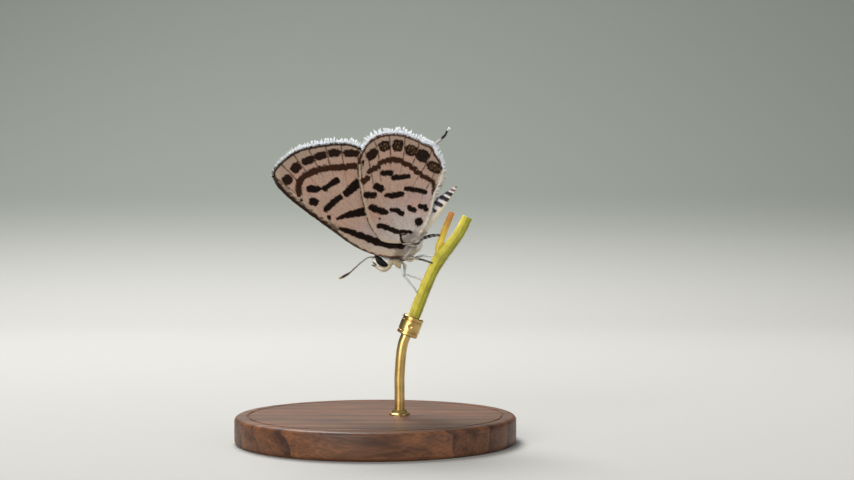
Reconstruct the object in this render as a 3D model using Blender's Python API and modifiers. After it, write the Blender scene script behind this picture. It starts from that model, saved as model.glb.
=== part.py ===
"""A small tailed butterfly at rest on a cut stem, held up by a plain display stand.

Metres, +Z up.  The origin is the middle of the stand's base, on the surface it stands on.
The insect is drawn level, in millimetres, in a frame of its own: X runs towards the tip of
the abdomen, Z towards the back, and -Y is its left side.  An empty tilts and lifts it all.
"""
import math

import bmesh
import bpy
from mathutils import Vector
from mathutils.geometry import interpolate_bezier

MM = 0.001
GAP = 0.1                       # left between pieces that would touch

# Driving sizes, in millimetres and degrees
BODY_TILT = 48.0                # tail end up
BODY_AT = (2.54, 0.0, 16.21)    # middle of the thorax
THORAX = dict(centre=(-0.22, 0.0, -0.12), half=(1.6, 0.84, 1.1))
HEAD = dict(centre=(-2.42, 0.0, 0.42), half=(0.5, 0.64, 0.8))
EYE = dict(centre=(-2.47, 0.47, 0.6), half=(0.31, 0.3, 0.64), lean=8.0)
ABDOMEN_START, ABDOMEN_TIP = 1.55, 6.2
ABDOMEN_RADIUS, ABDOMEN_FLATTEN = 0.75, 0.88
ABDOMEN_RINGS = 7
PALP_RADIUS = 0.27
PALP_PATH = [(-2.35, 0.34, -0.68), (-2.85, 0.34, -0.45), (-3.14, 0.34, 0.0),
             (-3.24, 0.33, 0.5), (-3.22, 0.3, 0.92)]
ANTENNA_LENGTH, ANTENNA_SPREAD = 4.7, 38.0
ANTENNA_RADIUS, CLUB_RADIUS = 0.25, 0.3
LEG_RADIUS = 0.25
WING_THICKNESS = 0.5
WING_PART = 0.05                # from the middle plane to the inner face of each wing
WING_CELLS = (12, 18)           # across the wing and along it
VEIN_RELIEF = 0.05
TAIL_RADIUS = 0.25
STEM_RADIUS, STEM_TOP_RADIUS, STALK_RADIUS = 0.52, 0.45, 0.22
NODE_SWELL = 0.12
BASE_RADIUS, BASE_HEIGHT, BASE_EDGE = 11.5, 2.2, 0.35
ROD_RADIUS, SOCKET_DEPTH = 0.42, 1.2
SLEEVE_WALL, SLEEVE_LENGTH = 0.25, 1.6

# Wing outlines, out to the tips of the fringe
HIND_COSTA = [(0.1, -0.2), (-0.6, 0.67), (-1.2, 1.7), (-0.85, 3.4), (0.3, 5.2), (1.9, 7.0),
              (3.5, 8.35)]
HIND_MARGIN = [(3.5, 8.35), (4.5, 8.35), (5.6, 7.8), (6.65, 6.75), (7.3, 5.4), (7.55, 4.0),
               (7.35, 2.6), (6.55, 1.3)]
HIND_INNER = [(0.6, -0.35), (2.4, -0.05), (3.8, 0.6), (5.0, 0.95), (6.55, 1.3)]
FORE_COSTA = [(-0.95, -0.66), (-1.8, 0.25), (-2.56, 1.48), (-3.07, 3.1), (-3.38, 5.6),
              (-3.68, 8.3), (-3.74, 10.2), (-3.56, 11.4), (-3.2, 12.1)]
FORE_MARGIN = [(-3.2, 12.1), (-2.6, 12.32), (-1.6, 12.36), (-0.2, 12.05), (1.5, 11.1),
               (2.9, 9.9), (3.4, 8.4)]

# Where each leg bends, as (x, distance from the middle plane, z): hip, knee, ankle and foot
LEGS = {
    "foreleg_left": (-1, [(-1.5, 0.38, -1.22), (-1.95, 0.72, -1.6), (-2.38, 0.75, -2.4),
                          (-2.38, 0.55, -3.1)]),
    "foreleg_right": (1, [(-1.5, 0.38, -1.22), (-1.9, 0.74, -1.55), (-1.82, 0.75, -2.1),
                          (-1.5, 0.55, -2.62)]),
    "midleg_left": (-1, [(-0.75, 0.66, -1.32), (-0.45, 0.92, -1.55), (-0.15, 0.8, -1.95),
                         (0.02, 0.62, -2.35)]),
    "midleg_right": (1, [(-0.75, 0.66, -1.32), (-0.4, 0.92, -1.45), (0.12, 0.78, -1.65),
                         (0.42, 0.62, -1.98)]),
    "hindleg_left": (-1, [(0.45, 0.75, -1.18), (0.8, 0.98, -0.95), (1.4, 0.8, -0.98),
                          (2.15, 0.42, -1.5)]),
    "hindleg_right": (1, [(0.45, 0.75, -1.18), (0.8, 0.98, -0.95), (1.35, 0.8, -0.9),
                          (1.95, 0.48, -1.3)]),
}

# The plant, in the stand's frame: the main stem and the thin side stalk of a seed head
STEM_PATH = [(2.83, 9.45), (3.35, 10.76), (3.95, 12.3), (4.58, 13.75), (5.25, 15.0),
             (6.15, 16.1), (6.9, 17.15), (7.5, 18.35)]
STALK_PATH = [(5.18, 16.15), (5.45, 16.85), (5.82, 17.75), (6.28, 18.75)]
STEM_NODE_Z = 15.1


def clear_scene():
    for obj in list(bpy.data.objects):
        bpy.data.objects.remove(obj, do_unlink=True)


def new_collection(name):
    collection = bpy.data.collections.new(name)
    bpy.context.scene.collection.children.link(collection)
    return collection


def new_material(name, colour, roughness, metallic=0.0):
    material = bpy.data.materials.new(name)
    material.use_nodes = True
    shader = material.node_tree.nodes["Principled BSDF"]
    shader.inputs["Base Color"].default_value = (*colour, 1.0)
    shader.inputs["Roughness"].default_value = roughness
    shader.inputs["Metallic"].default_value = metallic
    return material


def add_object(name, data, material, collection, parent=None):
    data.materials.append(material)
    obj = bpy.data.objects.new(name, data)
    collection.objects.link(obj)
    obj.parent = parent
    return obj


def ease(low, high, value):
    """0 at low, 1 at high, with soft ends."""
    t = min(max((value - low) / (high - low), 0.0), 1.0)
    return t * t * (3.0 - 2.0 * t)


def smooth_path(points, count):
    """count + 1 points, evenly spread along a smooth curve through the given ones."""
    knots = [Vector(p) for p in points]
    dense = [knots[0]]
    for i in range(len(knots) - 1):
        start, end = knots[i], knots[i + 1]
        reach = (end - start).length / 3.0
        leave = (end - knots[max(i - 1, 0)]).normalized() * reach
        arrive = (knots[min(i + 2, len(knots) - 1)] - start).normalized() * reach
        dense += interpolate_bezier(start, start + leave, end - arrive, end, 16)[1:]
    travelled = [0.0]
    for a, b in zip(dense, dense[1:]):
        travelled.append(travelled[-1] + (b - a).length)
    path, j = [], 0
    for k in range(count + 1):
        wanted = travelled[-1] * k / count
        while j < len(dense) - 2 and travelled[j + 1] < wanted:
            j += 1
        part = (wanted - travelled[j]) / (travelled[j + 1] - travelled[j])
        path.append(dense[j].lerp(dense[j + 1], min(part, 1.0)))
    return path


def tube(name, points, radii, material, collection, parent=None, sides=2, tip=False):
    """A round bar through points, one radius for each; tip rounds off its far end."""
    if tip:
        points, radii = list(points), list(radii)
        ahead = (points[-1] - points[-2]).normalized() * radii[-1]
        points += [points[-1] + ahead * 0.6, points[-1] + ahead * 0.95]
        radii += [radii[-1] * 0.8, radii[-1] * 0.35]
    curve = bpy.data.curves.new(name, "CURVE")
    curve.dimensions = "3D"
    curve.bevel_depth = MM
    curve.bevel_resolution = sides
    curve.use_fill_caps = True
    spline = curve.splines.new("POLY")
    spline.points.add(len(points) - 1)
    for knot, point, radius in zip(spline.points, points, radii):
        knot.co = (*[value * MM for value in point], 1.0)
        knot.radius = radius
    spline.use_smooth = True
    return add_object(name, curve, material, collection, parent)


def ovoid(name, centre, half, material, collection, parent, cells=(18, 12), shape=None):
    """A ball with its poles along X, stretched to its half sizes after shape has moved it."""
    bm = bmesh.new()
    bmesh.ops.create_uvsphere(bm, u_segments=cells[0], v_segments=cells[1], radius=1.0)
    for vert in bm.verts:
        unit = Vector((vert.co.z, vert.co.x, vert.co.y))
        if shape:
            unit = shape(unit)
        vert.co = [(middle + size * value) * MM
                   for middle, size, value in zip(centre, half, unit)]
    mesh = bpy.data.meshes.new(name)
    bm.to_mesh(mesh)
    bm.free()
    mesh.shade_smooth()
    return add_object(name, mesh, material, collection, parent)


def cut(obj, cutter, cutters):
    """Takes the cutter's shape out of obj."""
    for collection in list(cutter.users_collection):
        collection.objects.unlink(cutter)
    cutters.objects.link(cutter)
    cutter.hide_render = True
    cutter.display_type = "WIRE"
    boolean = obj.modifiers.new("cut", "BOOLEAN")
    boolean.operation = "DIFFERENCE"
    boolean.object = cutter


# ---------------------------------------------------------------- body

def egg_section(unit):
    """Narrower towards the back than at the belly, with a full front and rear."""
    narrow = 1.0 - 0.3 * ease(-0.3, 1.0, unit.z)
    girth = math.hypot(unit.y, unit.z) or 1.0
    full = girth ** 0.7 / girth                              # a blunter ball than a sphere
    return Vector((unit.x, unit.y * narrow * full, unit.z * full))


def face_section(unit):
    """A head flat in front and behind, and drawn in at the neck."""
    flat = math.copysign(abs(unit.x) ** 0.8, unit.x)
    neck = 1.0 - 0.3 * ease(0.1, 1.0, unit.x)
    return Vector((flat, unit.y * neck, unit.z * neck))


def ringed_section(unit):
    """A tapering abdomen with a shallow step at each of its rings."""
    turned = math.acos(max(-1.0, min(1.0, unit.x))) / math.pi
    along = 1.0 - turned                                     # 0 at the waist, 1 at the tip
    girth = math.hypot(unit.y, unit.z) or 1.0
    waist = 0.72 + 0.28 * ease(0.0, 0.25, along)
    taper = 1.0 - 0.63 * ease(0.5, 1.05, along)
    ends = min(1.0, math.sin(math.pi * along) * 4.0) ** 0.5
    ring = 1.0 + 0.05 * ((along * ABDOMEN_RINGS) % 1.0 - 0.5)
    wanted = waist * taper * ends * ring
    arch = 0.16 * math.sin(math.pi * along)
    return Vector((2.0 * along - 1.0, unit.y / girth * wanted,
                   unit.z / girth * wanted + arch))


def make_body(insect, parts, cutters, materials):
    fur, dark, eye_black = materials["hair"], materials["scale"], materials["eye"]
    ovoid("thorax", THORAX["centre"], THORAX["half"], fur, parts, insect, (20, 12),
          egg_section)

    middle = (ABDOMEN_START + ABDOMEN_TIP) / 2.0
    length = (ABDOMEN_TIP - ABDOMEN_START) / 2.0
    ovoid("abdomen", (middle, 0.0, 0.05),
          (length, ABDOMEN_RADIUS * ABDOMEN_FLATTEN, ABDOMEN_RADIUS),
          materials["scale"], parts, insect, (16, 24), ringed_section)

    head = ovoid("head", HEAD["centre"], HEAD["half"], fur, parts, insect, (20, 12),
                 face_section)
    for side, word in ((-1, "left"), (1, "right")):
        x, y, z = EYE["centre"]
        lean = math.radians(EYE["lean"])

        def teardrop(unit, side=side, lean=lean):
            """Narrow at the top and leaning back with the face."""
            slim = 1.0 - 0.35 * ease(-0.4, 1.0, unit.z)
            return Vector((unit.x * slim + unit.z * math.sin(lean), unit.y * slim, unit.z))

        ovoid("eye_" + word, (x, side * y, z), EYE["half"], eye_black, parts, insect,
              (14, 10), teardrop)
        socket = [size + GAP for size in EYE["half"]]
        cut(head, ovoid("socket_" + word, (x, side * y, z), socket, fur, parts, insect,
                        (14, 10), teardrop), cutters)

        path = smooth_path([(px, side * py, pz) for px, py, pz in PALP_PATH], 8)
        girth = [PALP_RADIUS * (1.0 - 0.3 * ease(4, 8, i)) for i in range(9)]
        tube("palp_" + word, path, girth, fur, parts, insect, tip=True)
        make_antenna(side, word, insect, parts, dark)


def make_antenna(side, word, insect, parts, material):
    """Straight out from the top of the face, then lifting, with a long club at the end."""
    count = 12
    spread = math.radians(ANTENNA_SPREAD)
    root = Vector((-2.72, side * 0.32, 1.42))
    points, radii = [], []
    for i in range(count + 1):
        t = i / count
        out = ANTENNA_LENGTH * t
        lift = 0.32 * math.sin(math.pi * t * 0.5) + 0.45 * t * t
        points.append(root + Vector((-out * math.cos(spread) * 0.92,
                                     side * out * math.sin(spread) * 0.92, lift)))
        radii.append(ANTENNA_RADIUS + (CLUB_RADIUS - ANTENNA_RADIUS) * ease(0.72, 0.85, t))
    tube("antenna_" + word, points, radii, material, parts, insect, tip=True)


def make_legs(insect, parts, material):
    for name, (side, bends) in LEGS.items():
        path = smooth_path([(x, side * y, z) for x, y, z in bends], 8)
        radii = [LEG_RADIUS * (1.15 - 0.15 * ease(0, 4, i)) for i in range(9)]
        tube(name, path, radii, material, parts, insect, tip=True)


# ---------------------------------------------------------------- wings

def wing_y(x, z):
    """How far from the middle plane a wing's inner face lies, as it passes round the body."""
    abdomen = ABDOMEN_RADIUS * ABDOMEN_FLATTEN * (1.0 - ease(5.0, 7.0, x))
    thorax = (THORAX["half"][1] * 1.12 - ABDOMEN_RADIUS * ABDOMEN_FLATTEN)
    body = abdomen + thorax * (1.0 - ease(0.8, 2.4, x)) + GAP
    return WING_PART + body * (1.0 - ease(0.1, 2.0, z))


def offset_path(path, distance):
    """The path moved sideways, to the left of its direction."""
    moved = []
    for i, point in enumerate(path):
        along = (path[min(i + 1, len(path) - 1)] - path[max(i - 1, 0)]).normalized()
        moved.append(point + Vector((-along.y, along.x)) * distance)
    return moved


def blade(name, costa, margin, inner, side, material, insect, parts):
    """A wing between three edges.  costa and inner run from the root to the outer margin."""
    across, along = WING_CELLS
    bpy.ops.mesh.primitive_grid_add(x_subdivisions=across, y_subdivisions=along, size=1.0)
    sheet = bpy.context.object
    mesh = sheet.data
    for vert in mesh.vertices:
        s, t = vert.co.x + 0.5, vert.co.y + 0.5
        i, j = round(s * across), round(t * along)
        root = costa[0].lerp(inner[0], s)
        corner = (costa[0] * (1 - s) + inner[0] * s) * (1 - t)
        corner += (costa[-1] * (1 - s) + inner[-1] * s) * t
        place = costa[j] * (1 - s) + inner[j] * s + root * (1 - t) + margin[i] * t - corner
        pleat = VEIN_RELIEF * (i % 2) * ease(0.1, 0.4, t) * ease(0.0, 0.5, 0.5 - abs(s - 0.5))
        y = wing_y(place.x, place.y) + pleat
        vert.co = (place.x * MM, side * y * MM, place.y * MM)
    if mesh.polygons[0].normal.y * side < 0:
        mesh.flip_normals()
    mesh.update()
    wall = sheet.modifiers.new("wall", "SOLIDIFY")
    wall.thickness = WING_THICKNESS * MM
    wall.offset = 1.0
    sheet.name = mesh.name = name
    mesh.materials.append(material)
    mesh.shade_smooth()
    for collection in list(sheet.users_collection):
        collection.objects.unlink(sheet)
    parts.objects.link(sheet)
    sheet.parent = insect


def make_wings(insect, parts, materials):
    across, along = WING_CELLS
    hind_costa = smooth_path(HIND_COSTA, along)
    fore_inner = offset_path(hind_costa, GAP)
    for side, word in ((-1, "left"), (1, "right")):
        blade("forewing_" + word, smooth_path(FORE_COSTA, along),
              smooth_path(FORE_MARGIN[:-1] + [fore_inner[-1]], across), fore_inner, side,
              materials["wing"], insect, parts)
        blade("hindwing_" + word, hind_costa, smooth_path(HIND_MARGIN, across),
              smooth_path(HIND_INNER, along), side, materials["wing"], insect, parts)
        y = side * (WING_PART + TAIL_RADIUS)
        path = smooth_path([(7.72, y, 3.72), (8.2, y, 3.64), (8.7, y, 3.61),
                            (9.15, y, 3.7)], 6)
        tube("hindwing_tail_" + word, path, [TAIL_RADIUS] * 7, materials["scale"], parts,
             insect, tip=True)


# ---------------------------------------------------------------- perch and stand

def make_perch(parts, materials):
    path = [Vector((p.x, 0.0, p.y)) for p in smooth_path(STEM_PATH, 18)]
    radii = []
    for i, point in enumerate(path):
        taper = STEM_RADIUS + (STEM_TOP_RADIUS - STEM_RADIUS) * i / (len(path) - 1)
        radii.append(taper + NODE_SWELL * math.exp(-((point.z - STEM_NODE_Z) / 0.7) ** 2))
    tube("perch_stem", path, radii, materials["stem"], parts, sides=3)
    path = [Vector((p.x, 0.0, p.y)) for p in smooth_path(STALK_PATH, 8)]
    tube("perch_stalk", path, [STALK_RADIUS] * 9, materials["stem"], parts)


def make_stand(parts, cutters, materials):
    bpy.ops.mesh.primitive_cylinder_add(
        vertices=64, radius=BASE_RADIUS * MM, depth=BASE_HEIGHT * MM,
        location=(0.0, 0.0, BASE_HEIGHT * MM / 2.0))
    base = bpy.context.object
    base.name = base.data.name = "stand_base"
    base.data.materials.append(materials["wood"])
    for collection in list(base.users_collection):
        collection.objects.unlink(base)
    parts.objects.link(base)
    edge = base.modifiers.new("edge", "BEVEL")
    edge.width = BASE_EDGE * MM
    edge.segments = 2
    edge.limit_method = "ANGLE"

    stem = smooth_path(STEM_PATH, 18)
    lean = (stem[1] - stem[0]).normalized()
    foot_z = BASE_HEIGHT - SOCKET_DEPTH
    bend = stem[0] - lean * (GAP + 1.6)
    foot = Vector((bend.x - 0.25, foot_z + GAP))
    knots = [foot, Vector((foot.x, 4.0)), Vector((foot.x, 5.4)), bend, stem[0] - lean * GAP]
    path = [Vector((p.x, 0.0, p.y)) for p in smooth_path(knots, 14)]
    tube("stand_rod", path, [ROD_RADIUS] * 15, materials["brass"], parts, sides=3)

    bpy.ops.mesh.primitive_cylinder_add(
        vertices=24, radius=(ROD_RADIUS + GAP) * MM, depth=2.0 * SOCKET_DEPTH * MM,
        location=(foot.x * MM, 0.0, BASE_HEIGHT * MM))
    cutter = bpy.context.object
    cutter.name = "rod_socket"
    cut(base, cutter, cutters)

    bpy.ops.mesh.primitive_cylinder_add(
        vertices=24, radius=(STEM_RADIUS + GAP) * MM, depth=SLEEVE_LENGTH * MM,
        end_fill_type="NOTHING", location=(stem[0].x * MM, 0.0, stem[0].y * MM),
        rotation=(0.0, math.atan2(lean.x, lean.y), 0.0))
    sleeve = bpy.context.object
    sleeve.name = sleeve.data.name = "stand_sleeve"
    sleeve.data.materials.append(materials["brass"])
    sleeve.data.shade_smooth()
    for collection in list(sleeve.users_collection):
        collection.objects.unlink(sleeve)
    parts.objects.link(sleeve)
    wall = sleeve.modifiers.new("wall", "SOLIDIFY")
    wall.thickness = SLEEVE_WALL * MM
    wall.offset = 1.0


def main():
    clear_scene()
    parts = new_collection("butterfly")
    cutters = new_collection("cutters")
    materials = {
        "wing": new_material("wing_scales", (0.42, 0.36, 0.32), 0.6),
        "scale": new_material("dark_scales", (0.05, 0.035, 0.03), 0.6),
        "hair": new_material("cream_hair", (0.62, 0.56, 0.45), 0.8),
        "eye": new_material("eye_black", (0.01, 0.008, 0.008), 0.15),
        "leg": new_material("leg_scales", (0.5, 0.48, 0.44), 0.6),
        "stem": new_material("green_stem", (0.4, 0.45, 0.06), 0.5),
        "wood": new_material("walnut", (0.11, 0.055, 0.03), 0.4),
        "brass": new_material("brass", (0.8, 0.6, 0.28), 0.3, 1.0),
    }
    insect = bpy.data.objects.new("insect", None)
    parts.objects.link(insect)
    insect.location = [value * MM for value in BODY_AT]
    insect.rotation_euler = (0.0, -math.radians(BODY_TILT), 0.0)
    make_body(insect, parts, cutters, materials)
    make_legs(insect, parts, materials["leg"])
    make_wings(insect, parts, materials)
    make_perch(parts, materials)
    make_stand(parts, cutters, materials)


main()
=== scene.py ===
import math

import bpy
import numpy as np
from mathutils import Matrix, Vector
from mathutils.geometry import interpolate_bezier


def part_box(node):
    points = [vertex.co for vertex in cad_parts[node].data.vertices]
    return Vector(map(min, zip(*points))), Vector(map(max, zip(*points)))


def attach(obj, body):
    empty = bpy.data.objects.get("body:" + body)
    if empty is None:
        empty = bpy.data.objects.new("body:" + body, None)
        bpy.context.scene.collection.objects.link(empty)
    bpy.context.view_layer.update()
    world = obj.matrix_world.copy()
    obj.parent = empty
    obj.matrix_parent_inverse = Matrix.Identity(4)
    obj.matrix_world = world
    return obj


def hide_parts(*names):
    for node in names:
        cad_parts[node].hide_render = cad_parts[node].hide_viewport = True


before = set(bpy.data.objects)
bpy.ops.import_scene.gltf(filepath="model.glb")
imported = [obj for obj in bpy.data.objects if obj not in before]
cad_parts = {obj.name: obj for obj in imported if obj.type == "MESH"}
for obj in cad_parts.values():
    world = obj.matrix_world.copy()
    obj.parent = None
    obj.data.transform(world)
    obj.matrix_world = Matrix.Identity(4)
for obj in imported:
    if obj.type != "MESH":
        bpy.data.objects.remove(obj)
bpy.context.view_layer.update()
mm = 0.001
fullTurn = 2 * math.pi
dice = np.random.default_rng(7)
print("frame loaded")


def middleOf(box):  # in mm
    return (Vector(box[0]) + Vector(box[1])) / 2 / mm


# The insect is drawn level, in mm: x to the tail, z to the back, -y is its left side.
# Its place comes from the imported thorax, whose middle is known in the level drawing.
bodyTilt = math.radians(48)
thoraxMiddle = Vector((-0.22, 0, -0.12))
turn = Matrix.Rotation(-bodyTilt, 3, "Y")
insectAt = middleOf(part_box("thorax")) - turn @ thoraxMiddle


def toWorld(points):  # level drawing in mm -> metres in the model's frame
    return (np.asarray(points, float) @ np.array(turn).T + np.array(insectAt)) * mm


def linear(code):  # sRGB hex to linear red, green, blue
    parts = [int(code[i:i + 2], 16) / 255 for i in (1, 3, 5)]
    return [p / 12.92 if p <= 0.04045 else ((p + 0.055) / 1.055) ** 2.4 for p in parts]


def rgba(code):
    return (*linear(code), 1)


def inks(colours):
    return {name: np.array(linear(code)) for name, code in colours.items()}


def ease(low, high, value):  # 0 up to low and 1 from high, smooth between
    t = np.clip((np.asarray(value, float) - low) / (high - low), 0, 1)
    return t * t * (3 - 2 * t)


def fade(low, high, value):  # 1 up to low and 0 from high
    return 1 - ease(low, high, value)


def mix(a, b, share):
    share = np.asarray(share)[..., None]
    return np.asarray(a) * (1 - share) + np.asarray(b) * share


def layered(ink, tone, *coats):  # colours laid one over another, each by its share
    tone = ink[tone] if isinstance(tone, str) else tone
    for name, share in coats:
        tone = mix(tone, ink[name], share)
    return tone


def raised(flat, y):  # (x, z) pairs and how far each lies to the side
    return np.stack([flat[:, 0], y, flat[:, 1]], 1)


def square(flat):  # turned by a right angle
    return np.stack([flat[:, 1], -flat[:, 0]], 1)


def unit(v):
    return v / np.maximum(np.linalg.norm(v, axis=-1, keepdims=True), 1e-9)


def pointsAt(line, at, marks=None):  # places along a line, by point number or by its marks
    marks = np.arange(len(line)) if marks is None else marks
    return np.stack([np.interp(at, marks, part) for part in np.transpose(line)], 1)


def evenly(line, count):  # the same line in steps of one length
    reach = np.concatenate([[0], np.cumsum(np.linalg.norm(np.diff(line, axis=0), axis=1))])
    return pointsAt(line, np.linspace(0, reach[-1], count + 1), reach)


def smoothPath(points, count):
    knots = [Vector(p) for p in points]
    dense = [knots[0]]
    for i in range(len(knots) - 1):
        start, end = knots[i], knots[i + 1]
        reach = (end - start).length / 3
        leave = (end - knots[max(i - 1, 0)]).normalized() * reach
        arrive = (knots[min(i + 2, len(knots) - 1)] - start).normalized() * reach
        dense += interpolate_bezier(start, start + leave, end - arrive, end, 16)[1:]
    return evenly(np.array([tuple(p) for p in dense]), count)


def spread(stops, count):  # values between even stops
    return np.interp(np.linspace(0, 1, count), np.linspace(0, 1, len(stops)), stops)


def bridge(starts, sides):  # faces from ring to ring, each ring known by its first point
    return [(a + j, a + (j + 1) % sides, b + (j + 1) % sides, b + j)
            for a, b in zip(starts, starts[1:]) for j in range(sides)]


def fan(start, sides, middle):
    return [(start + j, start + (j + 1) % sides, middle) for j in range(sides)]


def flipped(faces):
    return [f[::-1] for f in faces]


def capped(verts, sides, low, high):  # rings of points made a solid, with a point at each end
    count = len(verts)
    faces = bridge(range(0, count, sides), sides) + flipped(fan(0, sides, count))
    return np.concatenate([verts, [low], [high]]), faces + fan(count - sides, sides, count + 1)


def tube(line, radii, sides, ridge=None):  # a closed tube along a line, radius at each point
    slope = unit(np.gradient(line, axis=0))
    up = np.array([0, 1.0, 0]) if abs(slope[:, 1]).mean() < 0.8 else np.array([1.0, 0, 0])
    first = unit(np.cross(slope, up))
    turnBy = np.arange(sides) * fullTurn / sides
    girth = radii[:, None] * (np.ones(sides) if ridge is None else ridge(turnBy)[None])
    ring = (first[:, None] * np.cos(turnBy)[None, :, None]
            + np.cross(slope, first)[:, None] * np.sin(turnBy)[None, :, None]) * girth[..., None]
    return capped((line[:, None] + ring).reshape(-1, 3), sides, line[0], line[-1])


def linked(name, data):  # an object in the scene
    item = bpy.data.objects.new(name, data)
    bpy.context.scene.collection.objects.link(item)
    return item


def dress(mesh, material, smooth=True):
    mesh.polygons.foreach_set("use_smooth", [smooth] * len(mesh.polygons))
    mesh.materials.clear()
    mesh.materials.append(material)
    mesh.update()


def addPiece(name, verts, faces, material, smooth=True):
    mesh = bpy.data.meshes.new(name)
    mesh.from_pydata(np.asarray(verts).tolist(), [], faces)
    dress(mesh, material, smooth)
    return linked(name, mesh)


def choose(*pieces):  # selects these alone, with the first one active
    bpy.ops.object.select_all(action="DESELECT")
    for piece in pieces:
        piece.select_set(True)
    bpy.context.view_layer.objects.active = pieces[0]


def modify(piece, kind, **settings):  # adds a modifier and applies it
    choose(piece)
    modifier = piece.modifiers.new(kind.lower(), kind)
    for key, value in settings.items():
        setattr(modifier, key, value)
    bpy.ops.object.modifier_apply(modifier=modifier.name)


def readVerts(mesh, kind="co"):
    flat = np.zeros(len(mesh.vertices) * 3)
    mesh.vertices.foreach_get(kind, flat)
    return flat.reshape(-1, 3)


def moveVerts(mesh, points):  # from the level drawing to the model's place
    mesh.vertices.foreach_set("co", toWorld(points).ravel())
    mesh.update()


def paint(mesh, colours):  # one colour at each vertex, read by the materials
    layer = mesh.color_attributes.new("tone", "FLOAT_COLOR", "POINT")
    full = np.ones((len(mesh.vertices), 4))
    full[:, :3] = colours
    layer.data.foreach_set("color", full.ravel())


def own(piece, slot, *nodes):
    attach(piece, "root")
    if nodes:
        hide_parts(*nodes)


def plug(node, inputs):  # links what comes from a node, and sets what is a plain value
    for key, value in inputs.items():
        if isinstance(value, bpy.types.Node):
            value = value.outputs[0]
        if isinstance(value, bpy.types.NodeSocket):
            node.id_data.links.new(value, node.inputs[key])
        else:
            node.inputs[key].default_value = value
    return node


def addNode(tree, kind, inputs, **settings):
    node = tree.nodes.new("ShaderNode" + kind)
    for key, value in settings.items():
        setattr(node, key, value)
    return plug(node, inputs)


def newMaterial(name):  # its patterns read Object coordinates, in metres
    material = bpy.data.materials.new(name)
    material.use_nodes = True
    tree = material.node_tree
    return material, tree, addNode(tree, "TexCoord", {}).outputs["Object"]


def giveSurface(tree, colour, height, strength, deepMm, values, **settings):
    # the shader gets its colour, a relief with a depth in mm and its plain values
    bump = addNode(tree, "Bump", {"Height": height, "Strength": strength,
                                  "Distance": deepMm * mm}, **settings)
    plug(tree.nodes["Principled BSDF"], {"Base Color": colour, "Normal": bump, **values})


def chitin(name, look):
    # dry overlapping scales on chitin: matt, with a faint satin; the colour is in the scales
    material, tree, place = newMaterial(name)
    grain = addNode(tree, "TexNoise", {
        "Vector": place, "Scale": 1 / (look["grainMm"] * mm), "Detail": 3.0})
    shade = addNode(tree, "MapRange", {
        "Value": grain, "From Min": 0.3, "From Max": 0.7,
        "To Min": 1 - look["variation"], "To Max": 1 + look["variation"]})
    tinted = addNode(tree, "VectorMath", {
        0: addNode(tree, "VertexColor", {}, layer_name="tone"), "Scale": shade}, operation="SCALE")
    giveSurface(tree, tinted, grain, look["bump"], look["grainMm"] * 0.4, look["shader"])
    return material


wingLook = {"grainMm": 0.05, "variation": 0.12, "bump": 0.3,
            "shader": {"Roughness": 0.78, "Specular IOR Level": 0.09}}
hairLook = {"grainMm": 0.09, "variation": 0.1, "bump": 0.15,  # light passes through thin hair
            "shader": {"Roughness": 0.55, "Specular IOR Level": 0.4, "Subsurface Weight": 0.35,
                       "Subsurface Radius": (0.3 * mm, 0.25 * mm, 0.2 * mm)}}
skinLook = {"grainMm": 0.06, "variation": 0.16, "bump": 0.5,
            "shader": {"Roughness": 0.5, "Specular IOR Level": 0.45}}
wingScales = chitin("wingScaleChitin", wingLook)
wingSkin = chitin("wingMembraneChitin", wingLook)
fringeHair = chitin("fringeHairChitin", hairLook)
bodyHair = chitin("bodyHairChitin", hairLook)
cuticle = chitin("bodyCuticleChitin", skinLook)


def chainDistance(x, z, points, halves=0):  # to a stroke through points, less its half width
    halves = np.broadcast_to(halves, len(points))
    if len(points) == 1:
        return np.hypot(x - points[0][0], z - points[0][1]) - halves[0]
    best = np.full(x.shape, 1e3)
    for (ax, az), (bx, bz), ra, rb in zip(points, points[1:], halves, halves[1:]):
        dx, dz = bx - ax, bz - az
        t = np.clip(((x - ax) * dx + (z - az) * dz) / (dx * dx + dz * dz), 0, 1)
        best = np.minimum(best, np.hypot(x - ax - t * dx, z - az - t * dz) - (ra + (rb - ra) * t))
    return best


def spotDistance(x, z, centre, size, angle):  # an oval with slightly flattened sides
    a, square = math.radians(angle), 2.8
    px = (x - centre[0]) * math.cos(a) + (z - centre[1]) * math.sin(a)
    pz = -(x - centre[0]) * math.sin(a) + (z - centre[1]) * math.cos(a)
    reach = (abs(px / size[0] * 2) ** square + abs(pz / size[1] * 2) ** square) ** (1 / square)
    return (reach - 1) * min(size) / 2


def marksDistance(x, z, strokes, spots=()):
    best = np.full(x.shape, 1e3)
    for stroke in strokes:
        best = np.minimum(best, chainDistance(x, z, *stroke))
    for spot in spots:
        best = np.minimum(best, spotDistance(x, z, *spot))
    return best


def ripple(x, z, size):  # smooth, repeatable unevenness between -1 and 1
    k = fullTurn / size
    return (np.sin(k * (x + 0.37 * z) + 1.3) * np.cos(k * 0.83 * (z - 0.41 * x) + 0.4)
            + 0.5 * np.sin(k * 1.9 * (x - 0.7 * z)) * np.cos(k * 2.3 * (z + 0.2 * x))) / 1.5


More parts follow.
